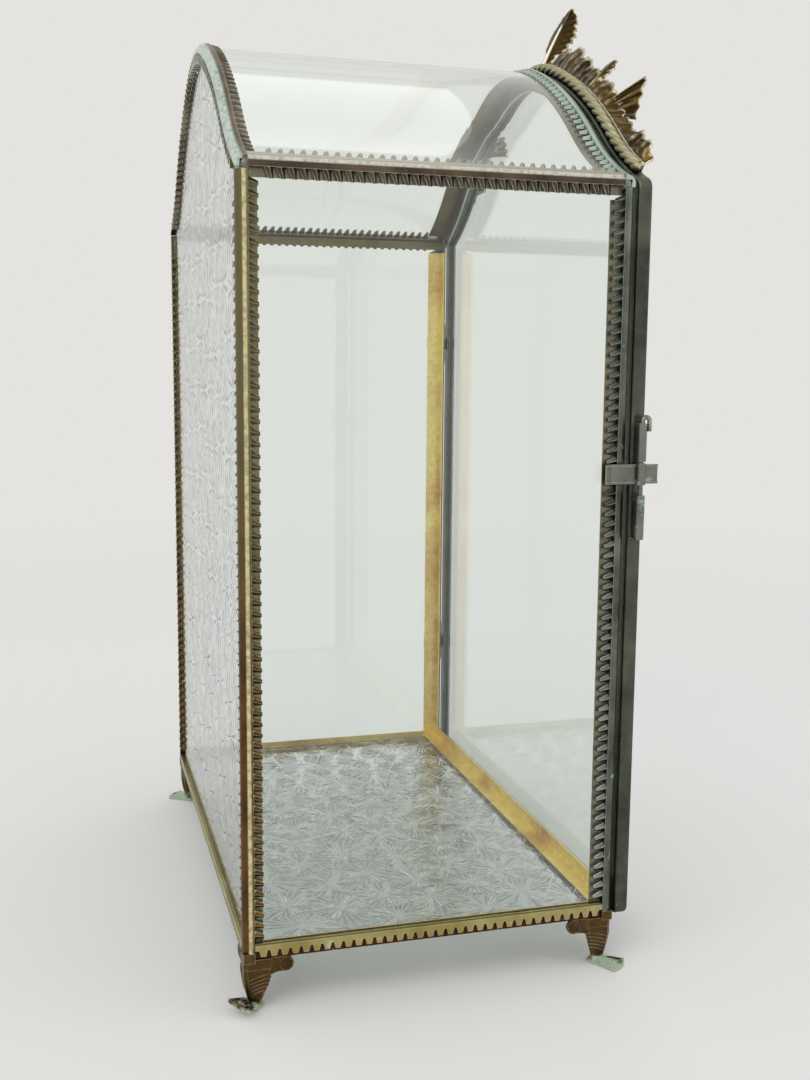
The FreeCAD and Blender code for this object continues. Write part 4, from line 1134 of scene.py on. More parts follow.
    def _cell(self, centre: Point2, stars: list[Point2], sides: list[Side]) -> Cell:
        """Cell of a star, from the stars and sides near it.

        Args:
            centre: Place of the star.
            stars: Places of all the stars.
            sides: Ends of the pane's sides.

        Returns:
            The cell.
        """
        cx, cy = centre
        star_limit, side_limit = (share * self.spacing for share in self.near)
        ways = [(x - cx, y - cy, math.dist((x, y), centre)) for x, y in stars]
        moved = [(ax - cx, ay - cy, bx - cx, by - cy) for (ax, ay), (bx, by) in sides]
        return Cell([(dx / gap, dy / gap, gap / 2) for dx, dy, gap in ways if 0.0 < gap < star_limit],
                    [side for side in moved if self._away(side) < side_limit])

    @staticmethod
    def _away(side: Point4) -> float:
        """Distance of a side of the pane from the star.

        Args:
            side: Ends of the side, from the star.

        Returns:
            The distance, in metres.
        """
        ax, ay, bx, by = side
        dx, dy = bx - ax, by - ay
        share = -(ax * dx + ay * dy) / max(dx * dx + dy * dy, FLAT)
        share = min(max(share, 0.0), 1.0)
        return math.hypot(ax + dx * share, ay + dy * share)

    def _gleams(self, chance: random.Random) -> list[float]:
        """Painted glint of each ray of one star, below zero where the ray gets painted shade instead.

        Args:
            chance: Source of the draws.

        Returns:
            Painted light by ray.
        """
        gleams = [0.0 if chance.random() < self.dull else chance.uniform(*self.bright)
                  for _ in range(self.rays)]
        clear = chance.uniform(self.faintest, 1.0)
        return [gleam * clear * self._lie(ray) * (-1 if chance.random() < self.shaded else 1)
                for ray, gleam in enumerate(gleams)]

    def _lie(self, ray: int) -> float:
        """Share of its painted light that a ray keeps: all of it within about 20 degrees of level, where the
        painted glint stands for the light that a level ray catches when the pane is seen edge-on.

        Args:
            ray: Number of the ray.

        Returns:
            The share.
        """
        low, high = self.level
        lie = (abs(math.cos(FULL_TURN * (ray + 0.5) / self.rays)) - low) / (high - low)
        return self.upright + (1 - self.upright) * min(max(lie, 0.0), 1.0)

    def _star(self, centre: Point2, cell: Cell, gleams: list[float], made: Builder) -> None:
        """Adds one star: a plain disc, then rays with furrows between them out to the seams.

        Args:
            centre: Place of the star.
            cell: Cell of the star.
            gleams: Painted glint of each ray, below zero painted shade.
            made: Piece that it is added to.
        """
        cx, cy = centre
        angles = circle(2 * self.rays)
        if self.crest < 1.0:
            angles += [math.pi * (k + side * self.crest) / self.rays
                       for k in range(1, 2 * self.rays, 2) for side in (-1, 1)]
        angles = sorted(angle % FULL_TURN for angle in angles + cell.corners())
        first = len(made.points)
        made.points.append(Vector((cx, cy, 0.0)))
        for angle in angles:
            furrow = abs((angle * self.rays / math.pi) % 2 - 1)
            gleam = gleams[int(angle * self.rays / FULL_TURN) % self.rays] * max(1 - furrow / self.crest, 0.0)
            limit = cell.reach(angle)
            start = min(self.disc, self.disc_limit * limit)
            for share, depth, ray_light in self.rings:
                radius = start + (limit - start) * share
                # Each point carries its ray's painted light: a glint above zero, shade below zero.
                made.marks[len(made.points)] = gleam * ray_light
                # Every seam lies at the same level, so that neighbouring stars meet.
                level = self.rings[-1][1] if share == 1.0 else depth * furrow
                made.points.append(Vector((
                    cx + radius * math.cos(angle), cy + radius * math.sin(angle), -level * self.relief)))
        rings = len(self.rings)
        for k in range(len(angles)):
            a = first + 1 + rings * k
            b = first + 1 + rings * ((k + 1) % len(angles))
            made.faces.append([first, a, b])
            for ring in range(rings - 1):
                made.faces.append([a + ring, a + ring + 1, b + ring + 1])
                made.faces.append([a + ring, b + ring + 1, b + ring])

    def _slab(self, outline: list[Point2], made: Builder) -> None:
        """Adds the smooth face and the edges of the pane.

        Args:
            outline: Corners of the pane.
            made: Piece that they are added to.
        """
        low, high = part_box(self.node)
        thickness = (high.z - low.z if self.face is Face.UP else high.y - low.y) - 2 * PANE_GAP
        first = len(made.points)
        count = len(outline)
        for z in (-self.rings[-1][1] * self.relief, -thickness):
            made.points.extend(Vector((x, y, z)) for x, y in outline)
        made.faces.append([first + count + k for k in reversed(range(count))])
        for k in range(count):
            after = (k + 1) % count
            made.faces.append([first + k, first + count + k, first + count + after, first + after])


# Crest


def eased(table: Table, share: float) -> float:
    """Value at a share of the way, on smooth steps between the rows of a table.

    Args:
        table: Rows of share and value.
        share: Share of the way, from 0 to 1.

    Returns:
        The value there.
    """
    for (a, low), (b, high) in zip(table, table[1:]):
        if share <= b:
            t = (share - a) / (b - a)
            return low + (high - low) * t * t * (3 - 2 * t)
    return table[-1][1]


@dataclass(frozen=True)
class Leaf:
    """Stamped leaf: toothed edge, hollow across, with a raised rib and side veins. Sizes are in millimetres.

    Attributes:
        axis: From root to tip.
        widths: Width by the share of its length.
        curl: How far its tip curls forward.
        teeth: Teeth along each edge.
        folds: How far its left and right halves fold forward.
        tooth: Depth of the teeth, as a share of half the width.
        hollow: Depth of the hollow across, likewise.
        rib: Height of the rib at the root, and its width as a share of half the leaf's.
        vein: Height of the veins at the edge, and how far they slant there, in teeth.
        mesh: Rows of its mesh to a tooth, and its columns.
    """

    axis: Point3
    widths: Table
    curl: float
    teeth: int
    folds: Point2 = (0.0, 0.0)
    tooth: float = 0.2
    hollow: float = 0.25
    rib: Point2 = (0.6, 0.2)
    vein: Point2 = (0.16, 1.2)
    mesh: tuple[int, int] = (6, 24)

    def build(self, made: Builder, root: Vector, side: Vector, sheet: float) -> None:
        """Adds the leaf to a piece.

        Args:
            made: Piece that it is added to.
            root: Root of the leaf.
            side: Direction across it.
            sheet: Thickness of its sheet.
        """
        axis = Vector(self.axis)
        length = axis.length
        axis = axis.normalized()
        side = (side - axis * side.dot(axis)).normalized()
        face = side.cross(axis)
        rib_height, rib_width = self.rib
        vein_height, slant = self.vein
        rows, columns = self.mesh

        def at(t: float, s: float) -> Vector:
            """Point of the leaf.

            Args:
                t: Share of its length.
                s: Share of its width.

            Returns:
                The point.
            """
            s = 2.0 * s - 1
            tooth = (t * self.teeth) % 1.0 if t < 1.0 else 1.0
            half = eased(self.widths, t) / 2 * (1 - self.tooth * tooth)
            fold = self.folds[0] if s < 0 else self.folds[1]
            rib = rib_height * math.exp(-(s / rib_width) ** 2) * (1 - t)
            vein = vein_height * math.cos(FULL_TURN * (t * self.teeth - slant * abs(s))) * abs(s)
            hollow = self.hollow * half * s * s
            lift = self.curl * t * t + hollow - rib + vein + half * abs(s) * math.sin(fold)
            flat = root + axis * (length * t) + side * (half * s * math.cos(fold))
            return flat + face * (lift + sheet / 2)

        made.sheet(rows * self.teeth, columns, at)


@dataclass
class Crest:
    """Stamped leaf crest on the door's arch: rope border, two ruffled sprays and a tall middle leaf.

    Sizes are in millimetres from the datum. A lean is how far a point stands before the door.

    Attributes:
        datum: Datum of the case.
        shelf: Finishes.
        gable: Curve that the crest follows.
        sheet: Thickness of the stamped sheet.
        foot: Offsets from the curve between which the crest is soldered to the door.
        foot_mesh: Length of a column of a foot strip's mesh, and its fewest columns.
        rope_radius: Radius over the rope's strands.
        rope_groove: Depth of the grooves between the strands, as a share of the radius.
        rope_round: Power that keeps the strands round between the grooves.
        rope_pitch: Length of a quarter turn of the rope.
        rope_half_span: Sideways reach of the rope.
        rope_mesh: Length of a ring of the rope's mesh, and sides of the ring.
        ruffle_start: Where the ruffle starts, along the curve from the crown.
        ruffle_end: Sideways place where the ruffle ends.
        ruffle_foot: Offset of the ruffle's foot.
        ruffle_mesh: Length of a column of the ruffle's mesh, and its rows.
        heights: Ruffle's height by the share of the way from the crown to its end.
        leans: Ruffle's lean likewise.
        pleat_pitch: Half the length of a pleat.
        pleat_depth: Depth of the pleats.
        lobe_length: Length of a lobe of the upper edge.
        lobe_dip: Depth of the dips between lobes, as a share of the height.
        crumple: Depth of the ruffle's dents.
        uneven: Lengths of the ruffle's slow waves, dents and nicks.
        layers: Layers of the noise that these are read from.
        dent_rows: Rows of dents over the ruffle's height.
        fold_shares: Shares of the pleats' depth that the pleats and the slow waves take.
        edge_lift: How far the pleats lift the upper edge.
        fan_roots: Where the fan leaf leaves the arch, as x, offset and lean.
        fan_ends: End corners of the fan leaf, as x, lean and z.
        fan_pleats: Half pleats across the fan leaf.
        fan_bow: Bow of the fan leaf along its length.
        fan_notch: Depth of the notches at the fan leaf's end, as a share of its length.
        fan_rise: How fast the flutes deepen from the fan leaf's root, up to their full depth.
        fan_mesh: Columns of the fan leaf's mesh to a half pleat, and its rows.
        curl_x: Sideways place of the small curled leaf.
        curled: Small curled leaf of a spray.
        middle: Tall middle leaf.
        middle_foot: Half the length of the middle leaf's foot strip.
        rib: Share of the middle leaf that its round rib runs along, its radius at the root and its taper.
        rib_sink: How far the rib's middle line is sunk into the leaf.
        rib_mesh: Steps of the rib's mesh along it, and its sides.
    """

    datum: Datum
    shelf: FinishShelf
    gable: Gable = field(default_factory=Gable)
    sheet: float = 0.6
    foot: Point2 = (-1.5, 2.6)
    foot_mesh: tuple[float, int] = (2.0, 4)
    rope_radius: float = 2.0
    rope_groove: float = 0.5
    rope_round: float = 1.5
    rope_pitch: float = 5.25
    rope_half_span: float = 101.0
    rope_mesh: tuple[float, int] = (0.45, 24)
    ruffle_start: float = 7.6
    ruffle_end: float = -98.0
    ruffle_foot: float = 0.8
    ruffle_mesh: tuple[float, int] = (0.5, 14)
    heights: Table = (
        (0.0, 8.5), (0.18, 11.0), (0.32, 8.0), (0.45, 7.0), (0.54, 6.5), (0.6, 2.5), (0.76, 2.5), (0.84, 6.5),
        (0.92, 7.0), (1.0, 4.0))
    leans: Table = ((0.0, 6.0), (0.18, 6.0), (0.4, 4.5), (0.6, 6.0), (0.8, 5.5), (1.0, 3.0))
    pleat_pitch: float = 2.3
    pleat_depth: float = 0.8
    lobe_length: float = 11.5
    lobe_dip: float = 0.28
    crumple: float = 1.1
    uneven: Point3 = (7.0, 3.4, 1.9)
    layers: Point3 = (3.0, 8.0, 21.0)
    dent_rows: float = 3.2
    fold_shares: Point2 = (1.25, 0.9)
    edge_lift: float = 0.4
    fan_roots: tuple[Point3, ...] = ((-60.0, 1.5, 2.0), (-69.0, 1.0, 1.5))
    fan_ends: tuple[Point3, ...] = ((-74.0, 13.5, 303.0), (-66.0, 13.0, 288.0))
    fan_pleats: int = 7
    fan_bow: float = 1.2
    fan_notch: float = 0.05
    fan_rise: float = 2.5
    fan_mesh: tuple[int, int] = (9, 24)
    curl_x: float = -48.0
    curled: Leaf = Leaf((-5.0, -7.0, 10.5), ((0.0, 3.0), (0.4, 6.5), (0.75, 6.5), (1.0, 2.5)), 2.0, 5)
    middle: Leaf = Leaf(
        (0.0, -11.9, 28.7), ((0.0, 3.4), (0.3, 5.0), (0.42, 11.0), (0.62, 13.0), (0.85, 9.0), (1.0, 2.0)),
        2.0, 11, (math.radians(48.0), math.radians(-22.0)))
    middle_foot: float = 6.0
    rib: Point3 = (0.75, 1.0, 0.75)
    rib_sink: float = 0.1
    rib_mesh: tuple[int, int] = (12, 10)

    @property
    def front(self) -> float:
        """Front of the door, in millimetres from the datum."""
        return (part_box("door_arch_rail")[0].y - self.datum.origin.y) / MM

    @property
    def span(self) -> Point2:
        """Distances along the curve between which the left ruffle runs."""
        return self.gable.distance_at(self.ruffle_end), self.gable.length / 2 - self.ruffle_start

    def build(self) -> None:
        """Builds the rope, both sprays and the middle leaf."""
        self._finish(self._rope(), "crest_border", ROPE_BRASS)
        left = Builder()
        self._strip(left, *self.span)
        self._ruffle(left)
        self._fan(left)
        place = self.gable.distance_at(self.curl_x)
        root = self.gable.point(place, self.foot[1], self.front - 2 * self.sheet)
        self.curled.build(left, root, self.gable.along(place), self.sheet)
        self._finish(left, "crest_spray_left", CREST_BRASS, self.sheet)
        self._finish(left.mirror(), "crest_spray_right", CREST_BRASS, self.sheet)
        self._middle_leaf()

    def _finish(self, made: Builder, node: str, finish: Finish, thickness: float = 0.0) -> None:
        """Puts a piece of the crest in its node's place.

        Args:
            made: Points in millimetres from the datum, and faces.
            node: Node that it stands for.
            finish: Its finish.
            thickness: Sheet thickness in millimetres, or nothing for a closed piece.
        """
        points = [self.datum.at(*p) for p in made.points]
        piece = mesh_piece(node + "_stamped", points, made.faces, True)
        if thickness:
            sheet = piece.modifiers.new("sheet", "SOLIDIFY")
            sheet.thickness = thickness * MM
            sheet.offset = 0.0
        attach(piece, Body.DOOR.value)
        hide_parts(node)
        self.shelf.dress(piece, finish)
        LOG.info("%s: %d faces", piece.name, len(made.faces))

    def _rope(self) -> Builder:
        """Rope of four strands along the arch.

        Returns:
            The rope.
        """
        first = self.gable.distance_at(-self.rope_half_span)
        last = self.gable.length - first
        depth = sum(corner.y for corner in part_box("crest_border")) / 2 - self.datum.origin.y
        step, sides = self.rope_mesh
        rows = []
        for share in shares(int((last - first) / step)):
            place = first + (last - first) * share
            twist = (place - first) / self.rope_pitch * math.pi / 2
            middle = self.gable.point(place, self.rope_radius, depth / MM)
            out = self.gable.normal(self.gable.locate(place)[2])
            row = []
            for turn in circle(sides):
                groove = self.rope_groove * (1 - abs(math.cos(2 * (turn - twist)))) ** self.rope_round
                ray = out * math.cos(turn) + Vector((0.0, math.sin(turn), 0.0))
                row.append(middle + ray * (self.rope_radius * (1 - groove)))
            rows.append(row)
        made = Builder()
        made.grid(rows, around=True)
        return made

    def _strip(self, made: Builder, first: float, last: float) -> None:
        """Adds the foot strip that is soldered to the door, between two distances along the arch.

        Args:
            made: Piece that it is added to.
            first: Distance where it starts.
            last: Distance where it ends.
        """
        step, fewest = self.foot_mesh
        steps = max(int((last - first) / step), fewest)
        y = self.front - self.sheet / 2
        places = [first + (last - first) * share for share in shares(steps)]
        made.grid([[self.gable.point(place, offset, y) for place in places] for offset in self.foot])

    def _ruffle(self, made: Builder) -> None:
        """Adds the pleated sheet with a lobed upper edge that rolls forward.

        Args:
            made: Piece that it is added to.
        """
        first, last = self.span
        front = self.front - self.sheet / 2
        step, rows = self.ruffle_mesh
        waves, dents, nicks = self.uneven
        wave_layer, dent_layer, nick_layer = self.layers
        pleat_share, wave_share = self.fold_shares

        def at(t: float, s: float) -> Vector:
            """Point of the ruffle.

            Args:
                t: Share of its height.
                s: Share of the way from its end to the crown.

            Returns:
                The point.
            """
            place = first + (last - first) * s
            run = last - place
            share = run / (last - first)
            lobe = 1 - self.lobe_dip + self.lobe_dip * abs(math.sin(math.pi * run / self.lobe_length))
            pleat = 0.5 - 0.5 * math.cos(math.pi * run / self.pleat_pitch)
            uneven = noise.noise(Vector((run / waves, t, wave_layer)))
            dent = self.crumple * t * noise.noise(Vector((run / dents, self.dent_rows * t, dent_layer)))
            nick = self.crumple * t ** 3 * noise.noise(Vector((run / nicks, 0.0, nick_layer)))
            edge = self.edge_lift * (pleat - 0.5) * t ** 4
            height = self.ruffle_foot + eased(self.heights, share) * lobe * t + edge + nick
            fold = self.pleat_depth * t * (pleat_share * pleat + wave_share * uneven)
            lean = eased(self.leans, share) * t * t + fold + dent
            return self.gable.point(place, height, front - max(lean, 0.0))

        made.sheet(rows, int((last - first) / step), at)

    def _fan(self, made: Builder) -> None:
        """Adds the broad fluted leaf that sweeps forward from the ruffle.

        Args:
            made: Piece that it is added to.
        """
        roots = [self.gable.point(self.gable.distance_at(x), offset, self.front - lean)
                 for x, offset, lean in self.fan_roots]
        ends = [Vector((x, self.front - lean, z)) for x, lean, z in self.fan_ends]
        face = (ends[0] - roots[0]).cross(ends[1] - ends[0]).normalized()
        columns, rows = self.fan_mesh

        def at(t: float, s: float) -> Vector:
            """Point of the leaf.

            Args:
                t: Share of its length.
                s: Share of its width.

            Returns:
                The point.
            """
            flute = 0.5 - 0.5 * math.cos(math.pi * self.fan_pleats * s)
            root = roots[0].lerp(roots[1], s)
            end = ends[0].lerp(ends[1], s)
            reach = t * (1 - self.fan_notch * (1 - flute) * t)
            fold = self.pleat_depth * flute * min(1.0, self.fan_rise * t)
            bow = self.fan_bow * math.sin(math.pi * t) + fold
            return root.lerp(end, reach) + face * (bow - self.sheet / 2)

        made.sheet(rows, columns * self.fan_pleats, at)

    def _middle_leaf(self) -> None:
        """Builds the tall leaf over the crown, with a round rib on its back."""
        place = self.gable.length / 2
        made = Builder()
        self._strip(made, place - self.middle_foot, place + self.middle_foot)
        root = self.gable.point(place, self.ruffle_foot, self.front - self.sheet / 2)
        self.middle.build(made, root, SIDEWAYS, self.sheet)
        self._finish(made, "crest_centre_leaf", LEAF_BRASS, self.sheet)
        axis = Vector(self.middle.axis)
        face = SIDEWAYS.cross(axis.normalized())
        share, radius, taper = self.rib
        count, sides = self.rib_mesh
        steps = [share * k for k in shares(count)]
        lifts = [self.middle.curl * t * t - self.rib_sink for t in steps]
        path = [self.datum.at(*(root + axis * t + face * lift)) for t, lift in zip(steps, lifts)]
        rod = Builder()
        rod.tube(path, [(radius - taper * t) * MM for t in steps], sides)
        rib = mesh_piece("crest_leaf_rib", rod.points, rod.faces, True)
        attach(rib, Body.DOOR.value)
        self.shelf.dress(rib, ROPE_BRASS)
        LOG.info("%s: round rib", rib.name)


# Feet


@dataclass
class FootTrim:
    """Stamped relief of one foot: chevron ribs on the leg, rings on the wings and flutes on the toe.

    Sizes are in millimetres from the corner of the glass, inward and up.

    Attributes:
        datum: Datum of the case.
        shelf: Finishes.
        side: -1 on the left, 1 on the right.
        end: -1 at the front, 1 at the back.
        leg: Height, outer face and inner edge of the leg's faces, from the top down.
        ribs: Heights of the chevron ribs at the corner.
        rib_rise: Start of a rib from its height, and how far it rises.
        rib_bend: Power of the rise along a rib.
        rib_sink: How far a rib's middle line is sunk into the face.
        rib_ends: Distances of a rib's ends from the corner and from the inner edge.
        swell: How much a rib and a flute swell.
        rosette: Place of a wing's rosette along the wing, and its height.
        rings: Radius and thickness of the rings round it.
        wing_face: Outer face of the wings.
        ankle: Place of the ankle both ways from the corner, and height of the sole.
        toe: Length of the toe, half width at the heel, half width at its end and thickness.
        toe_turn: Direction of the toe from the side panes, in degrees.
        flutes: Places of the flutes across the toe, as shares of its half width.
        flute_start: Distance of the flutes' start from the ankle.
        roll: Roll of a bent toe, in degrees.
        lift: Lift of a bent toe's tip, in degrees.
        slim: Radius of a rib or a flute where it is thinnest.
        steps: Steps of the mesh along a rib or a flute, and round a ring.
        sides: Sides of a rib, and of a ring or a flute.
    """

    datum: Datum
    shelf: FinishShelf
    side: int
    end: int
    leg: tuple[Point3, ...] = (
        (-6.8, -1.1, 8.7), (-9.5, -1.2, 8.6), (-13.0, -0.8, 7.6), (-16.5, -0.1, 6.1), (-19.2, 0.5, 5.1))
    ribs: tuple[float, ...] = (-9.4, -10.9, -12.4, -13.9, -15.4)
    rib_rise: Point2 = (-1.4, 2.4)
    rib_bend: float = 0.8
    rib_sink: float = 0.1
    rib_ends: Point2 = (1.2, 0.4)
    swell: Point2 = (0.35, 0.25)
    rosette: Point2 = (13.3, -5.9)
    rings: Table = ((2.2, 0.3), (1.3, 0.22))
    wing_face: float = -0.7
    ankle: Point2 = (2.8, -21.8)
    toe: Point4 = (9.6, 2.5, 4.8, 1.2)
    toe_turn: float = 45.0
    flutes: tuple[float, ...] = (-0.85, -0.42, 0.0, 0.42, 0.85)
    flute_start: float = 1.0
    roll: float = 0.0
    lift: float = 0.0
    slim: float = 0.2
    steps: tuple[int, int] = (8, 28)
    sides: tuple[int, int] = (8, 6)

    def build(self) -> None:
        """Builds the relief on the foot."""
        made = Builder()
        for swap in (False, True):
            self._leg_ribs(made, swap)
            self._wing_rings(made, swap)
        self._toe_flutes(made)
        end = "front" if self.end < 0 else "back"
        name = f"foot_relief_{end}_" + ("left" if self.side < 0 else "right")
        piece = mesh_piece(name, made.points, made.faces, True)
        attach(piece, Body.CASE.value)
        self.shelf.dress(piece, RELIEF_PAINTED_HIGHLIGHT)
        LOG.info("%s: %d faces", name, len(made.faces))

    def _at(self, inward: float, along: float, height: float, swap: bool) -> Vector:
        """Point on one of the two faces, in the row frame.

        Args:
            inward: Distance in from the face's pane.
            along: Distance along the pane from the corner.
            height: Height from the datum.
            swap: Whether the face looks along Y instead of X.

        Returns:
            The point.
        """
        x, y = (along, inward) if swap else (inward, along)
        return self.datum.at(self.side * (HALF_WIDTH / MM - x), self.end * (HALF_DEPTH / MM - y), height)

    def _face(self, height: float) -> Point2:
        """Outer face and inner edge of the leg at a height.

        Args:
            height: Height from the datum.

        Returns:
            Distances in from the pane.
        """
        for (a, out_a, in_a), (b, out_b, in_b) in zip(self.leg, self.leg[1:]):
            if height >= b:
                t = (height - a) / (b - a)
                return out_a + (out_b - out_a) * t, in_a + (in_b - in_a) * t
        return self.leg[-1][1:]

    def _leg_ribs(self, made: Builder, swap: bool) -> None:
        """Adds chevron ribs that rise from the corner to the leg's inner edge and swell there.

        Args:
            made: Piece that they are added to.
            swap: Whether the face looks along Y instead of X.
        """
        start, rise = self.rib_rise
        swell = self.swell[0]
        for height in self.ribs:
            path = []
            radii = []
            for t in shares(self.steps[0]):
                z = height + start + rise * t ** self.rib_bend
                outer, inner = self._face(z)
                along = outer + self.rib_ends[0] + (inner - outer - sum(self.rib_ends)) * t
                path.append(self._at(outer + self.rib_sink, along, z, swap))
                radii.append((self.slim + swell * t * math.sin(math.pi * (0.15 + 0.85 * t) ** 2)) * MM)
            made.tube(path, radii, self.sides[0])

    def _wing_rings(self, made: Builder, swap: bool) -> None:
        """Adds the rings round the rosette of a wing.

        Args:
            made: Piece that they are added to.
            swap: Whether the face looks along Y instead of X.
        """
        along, height = self.rosette
        turns = circle(self.steps[1]) + [FULL_TURN]
        for radius, thick in self.rings:
            ring = [(along + radius * math.cos(a), height + radius * math.sin(a)) for a in turns]
            path = [self._at(self.wing_face, place, z, swap) for place, z in ring]
            made.tube(path, [thick * MM] * len(path), self.sides[1])

    def _toe_point(self, out: float, across: float) -> Vector:
        """Point on the toe's upper face, in the row frame.

        Args:
            out: Distance out from the ankle.
            across: Distance to one side.

        Returns:
            The point.
        """
        _, _, half, sheet = self.toe
        roll, lift = math.radians(self.roll), math.radians(self.lift)
        pivot = Vector((0.0, half, 0.0))
        point = pivot + Matrix.Rotation(-roll, 3, "X") @ (Vector((-out, across, sheet)) - pivot)
        point.y -= sheet * math.sin(roll)
        point = Matrix.Rotation(math.radians(self.toe_turn), 3, "Z") @ Matrix.Rotation(lift, 3, "Y") @ point
        ankle, sole = self.ankle
        return self._at(ankle + point.x, ankle + point.y, sole + point.z, False)

    def _toe_flutes(self, made: Builder) -> None:
        """Adds the flutes that spread along the toe.

        Args:
            made: Piece that they are added to.
        """
        length, heel, end, _ = self.toe
        start, swell = self.flute_start, self.swell[1]
        steps = shares(self.steps[0])
        radii = [(self.slim + swell * math.sin(math.pi * (0.1 + 0.8 * t))) * MM for t in steps]
        for share in self.flutes:
            places = [(start + (length - start) * t, share * (heel + (end - heel) * t)) for t in steps]
            path = [self._toe_point(*place) for place in places]
            made.tube(path, radii, self.sides[1])


# Case and door


@dataclass
class CornerSolder:
    """Beads of soft solder that close the corners where a post, an eave and a gable meet.

    Attributes:
        datum: Datum of the case.
        shelf: Finishes.
        inset: Place of a bead in from the side pane and from the end of the case, in millimetres.
        heights: Lower and upper end of a bead, in millimetres from the datum.
        radius: Radius of a bead, in millimetres.
        taper: Share of its radius that a bead loses at its ends.
        mesh: Steps of a bead's mesh along it, and its sides.
    """

    datum: Datum
    shelf: FinishShelf
    inset: Point2 = (0.4, 1.7)
    heights: Point2 = (256.4, 260.0)
    radius: float = 1.8
    taper: float = 0.4
    mesh: tuple[int, int] = (8, 14)

    def build(self) -> None:
        """Builds the four beads."""
        made = Builder()
        low, high = self.heights
        count, sides = self.mesh
        steps = shares(count)
        radii = [self.radius * (1 - self.taper * abs(2 * t - 1) ** 3) * MM for t in steps]
        for side, end in CORNERS:
            x, y = side * (HALF_WIDTH / MM - self.inset[0]), end * (HALF_DEPTH / MM - self.inset[1])
            made.tube([self.datum.at(x, y, low + (high - low) * t) for t in steps], radii, sides)
        piece = mesh_piece("corner_solder", made.points, made.faces, True)
        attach(piece, Body.CASE.value)
        self.shelf.dress(piece, SOLDER)
        LOG.info("%s: four beads", piece.name)


@dataclass
class Dresser:
    """Gives the carried-over nodes their finishes.

    Attributes:
        shelf: Finishes.
        plan: Start of a node's name to its finish, the first match counting.
    """

    shelf: FinishShelf
    plan: tuple[tuple[str, Finish], ...] = (
        ("corner_post_front_left", DOOR_POST_BRASS),
        ("corner_post", POST_BRASS),
        ("eave_strip", EAVE_BRASS),
        ("gable_strip_front", FRONT_GABLE_PAINTED_SHEEN),
        ("gable_strip", GABLE_BRASS),
        ("base_strip", BASE_BRASS),
        ("inner_post_front_left", DULL_STRIP),
        ("inner_post_back_left", DULL_STRIP),
        ("inner_eave", DULL_STRIP),
        ("inner_gable", DULL_STRIP),
        ("inner_", GILT_STRIP),
        ("door_pane", CLEAR_GLASS),
        ("door_", DOOR_BRASS),
        ("crest_border", ROPE_BRASS),
        ("crest_", CREST_BRASS),
        ("foot_", FOOT_BRASS),
        ("hinge_", FITTING_BRASS),
        ("latch_", FITTING_BRASS),
        ("side_pane", CLEAR_GLASS),
        ("roof_pane", CLEAR_GLASS),
        ("back_pane", STAR_GLASS),
        ("floor_pane", STAR_GLASS),
    )

    def dress(self) -> None:
        """Dresses every node."""
        for name, node in sorted(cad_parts.items()):
            finish = next(finish for start, finish in self.plan if name.startswith(start))
            self.shelf.dress(node, finish)
            LOG.info("%s: %s", name, finish.name)


# Studio


@dataclass(frozen=True)
class Softbox:
    """Large soft lamp. Places and sizes are in metres.

    Attributes:
        name: Lamp name.
        place: Where it hangs.
        aim: Point that it faces.
        size: Width and height.
        power: Power in watts.
    """

    name: str
    place: Point3
    aim: Point3
    size: Point2
    power: float

    def hang(self) -> None:
        """Adds the lamp to the scene."""
        data = bpy.data.lights.new(self.name, "AREA")
        data.shape = "RECTANGLE"
        data.size, data.size_y = self.size
        data.energy = self.power
        lamp = bpy.data.objects.new(self.name, data)
        lamp.location = self.place
        lamp.rotation_euler = (Vector(self.aim) - Vector(self.place)).to_track_quat("-Z", "Y").to_euler()
        bpy.context.scene.collection.objects.link(lamp)


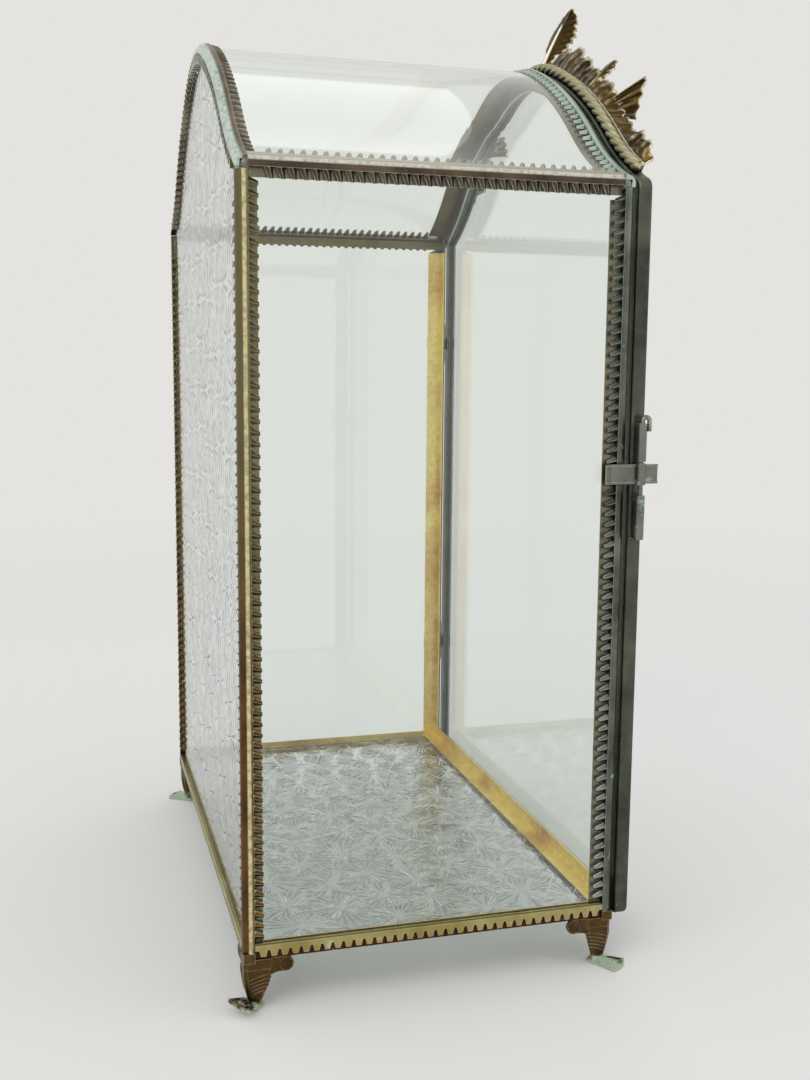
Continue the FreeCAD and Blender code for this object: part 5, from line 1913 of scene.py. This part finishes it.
@dataclass
class Studio:
    """Pale floor, soft light and the camera.

    Attributes:
        datum: Datum of the case.
        shelf: Finishes.
        camera_place: Camera from the datum, in millimetres.
        azimuth: Camera's azimuth, in degrees.
        elevation: Camera's elevation, in degrees.
        roll: Camera's roll, in degrees.
        focal_pixels: Focal length in pixels.
        frame_pixels: Width of the picture in pixels.
        sensor: Width of the sensor, in millimetres.
        nearest: Distance from which the camera sees, in metres.
        floor: Half the width of the floor and its height, in metres.
        light: Colour and strength of the surroundings as light.
        lamps: Softboxes.
    """

    datum: Datum
    shelf: FinishShelf
    camera_place: Point3 = (-498.70, 123.64, 196.61)
    azimuth: float = 254.066
    elevation: float = 8.081
    roll: float = 0.504
    focal_pixels: float = 1225.564
    frame_pixels: float = 810.0
    sensor: float = 36.0
    nearest: float = 0.01
    floor: Point2 = (12.0, -0.0002)
    light: tuple[str, float] = ("#f6f7f8", 0.82)
    lamps: tuple[Softbox, ...] = (
        Softbox("key_softbox", (-1.0, 0.85, 1.3), (0.0, 0.0, 0.2), (1.5, 1.1), 7.8),
        Softbox("fill_softbox", (-0.6, -1.4, 0.8), (0.0, 0.0, 0.15), (1.4, 1.1), 2.4),
        Softbox("top_softbox", (0.6, -0.3, 1.54), (0.25, -0.3, 0.2), (0.34, 0.62), 0.4),
    )

    def build(self) -> None:
        """Builds the floor, the lights and the camera."""
        self._floor()
        self._world()
        for lamp in self.lamps:
            lamp.hang()
        self._camera()
        bpy.context.scene.view_settings.view_transform = "Standard"

    def _floor(self) -> None:
        """Lays a large sheet of paper under the feet."""
        half, height = self.floor
        corners = [Vector((x * half, y * half, height)) for x, y in ((-1, -1), (1, -1), (1, 1), (-1, 1))]
        paper = mesh_piece("studio_floor", corners, [(0, 1, 2, 3)], False)
        self.shelf.dress(paper, PAPER)

    def _world(self) -> None:
        """Makes even pale surroundings, with one colour as light and another as a backdrop."""
        world = bpy.data.worlds.new("studio_surroundings")
        world.use_nodes = True
        tree = world.node_tree
        tree.nodes.clear()
        colour, strength = self.light
        light = add(tree, "ShaderNodeBackground", {"Color": linear(colour), "Strength": strength})
        seen = add(tree, "ShaderNodeBackground", {"Color": linear(PAPER.around), "Strength": 1.0})
        ray = add(tree, "ShaderNodeLightPath")
        direct = add(tree, "ShaderNodeMath", {
            0: ray.outputs["Is Camera Ray"], 1: ray.outputs["Is Glossy Ray"]}, operation="MAXIMUM")
        shown = add(tree, "ShaderNodeMath", {
            0: direct.outputs["Value"], 1: ray.outputs["Is Transmission Ray"]}, operation="MAXIMUM")
        both = add(tree, "ShaderNodeMixShader", {
            0: shown.outputs["Value"], 1: light.outputs["Background"], 2: seen.outputs["Background"]})
        add(tree, "ShaderNodeOutputWorld", {"Surface": both.outputs["Shader"]})
        bpy.context.scene.world = world

    def _camera(self) -> None:
        """Sets the camera at the photograph's place and angle."""
        az, el, roll = (math.radians(a) for a in (self.azimuth, self.elevation, self.roll))
        back = Vector((math.sin(az) * math.cos(el), -math.cos(az) * math.cos(el), math.sin(el)))
        level = Vector((math.cos(az), math.sin(az), 0.0))
        upright = back.cross(level)
        right = level * math.cos(roll) + upright * math.sin(roll)
        up = upright * math.cos(roll) - level * math.sin(roll)
        data = bpy.data.cameras.new("photo_camera")
        data.sensor_fit = "HORIZONTAL"
        data.sensor_width = self.sensor
        data.lens = self.focal_pixels * self.sensor / self.frame_pixels
        data.clip_start = self.nearest
        camera = bpy.data.objects.new("photo_camera", data)
        turn = Matrix((right, up, back)).transposed().to_4x4()
        camera.matrix_world = Matrix.Translation(self.datum.at(*self.camera_place)) @ turn
        bpy.context.scene.collection.objects.link(camera)
        bpy.context.scene.camera = camera


def main() -> None:
    """Dresses the vitrine and lights it."""
    logging.basicConfig(level=logging.INFO, format="%(message)s")
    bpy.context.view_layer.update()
    datum = Datum.read()
    shelf = FinishShelf(datum)
    Dresser(shelf).dress()
    StarPane("floor_pane", Face.UP, 7).build(shelf)
    StarPane("back_pane", Face.BACK, 11, rays=12, disc=0.6 * MM, relief=0.02 * MM, rings=BACK_RINGS, dull=0.0,
             faintest=0.5, upright=0.4, shaded=0.7, crest=0.5).build(shelf)
    for node in ("side_pane_left", "side_pane_right", "roof_pane"):
        SheetPane(node, Body.CASE).build(shelf)
    SheetPane("door_pane", Body.DOOR).build(shelf)
    Crest(datum, shelf).build()
    for side, end in CORNERS:
        roll, lift = BENT_TOE if (side, end) == BENT_CORNER else (0.0, 0.0)
        FootTrim(datum, shelf, side, end, roll=roll, lift=lift).build()
    CornerSolder(datum, shelf).build()
    Studio(datum, shelf).build()


if __name__ == "__main__":
    main()
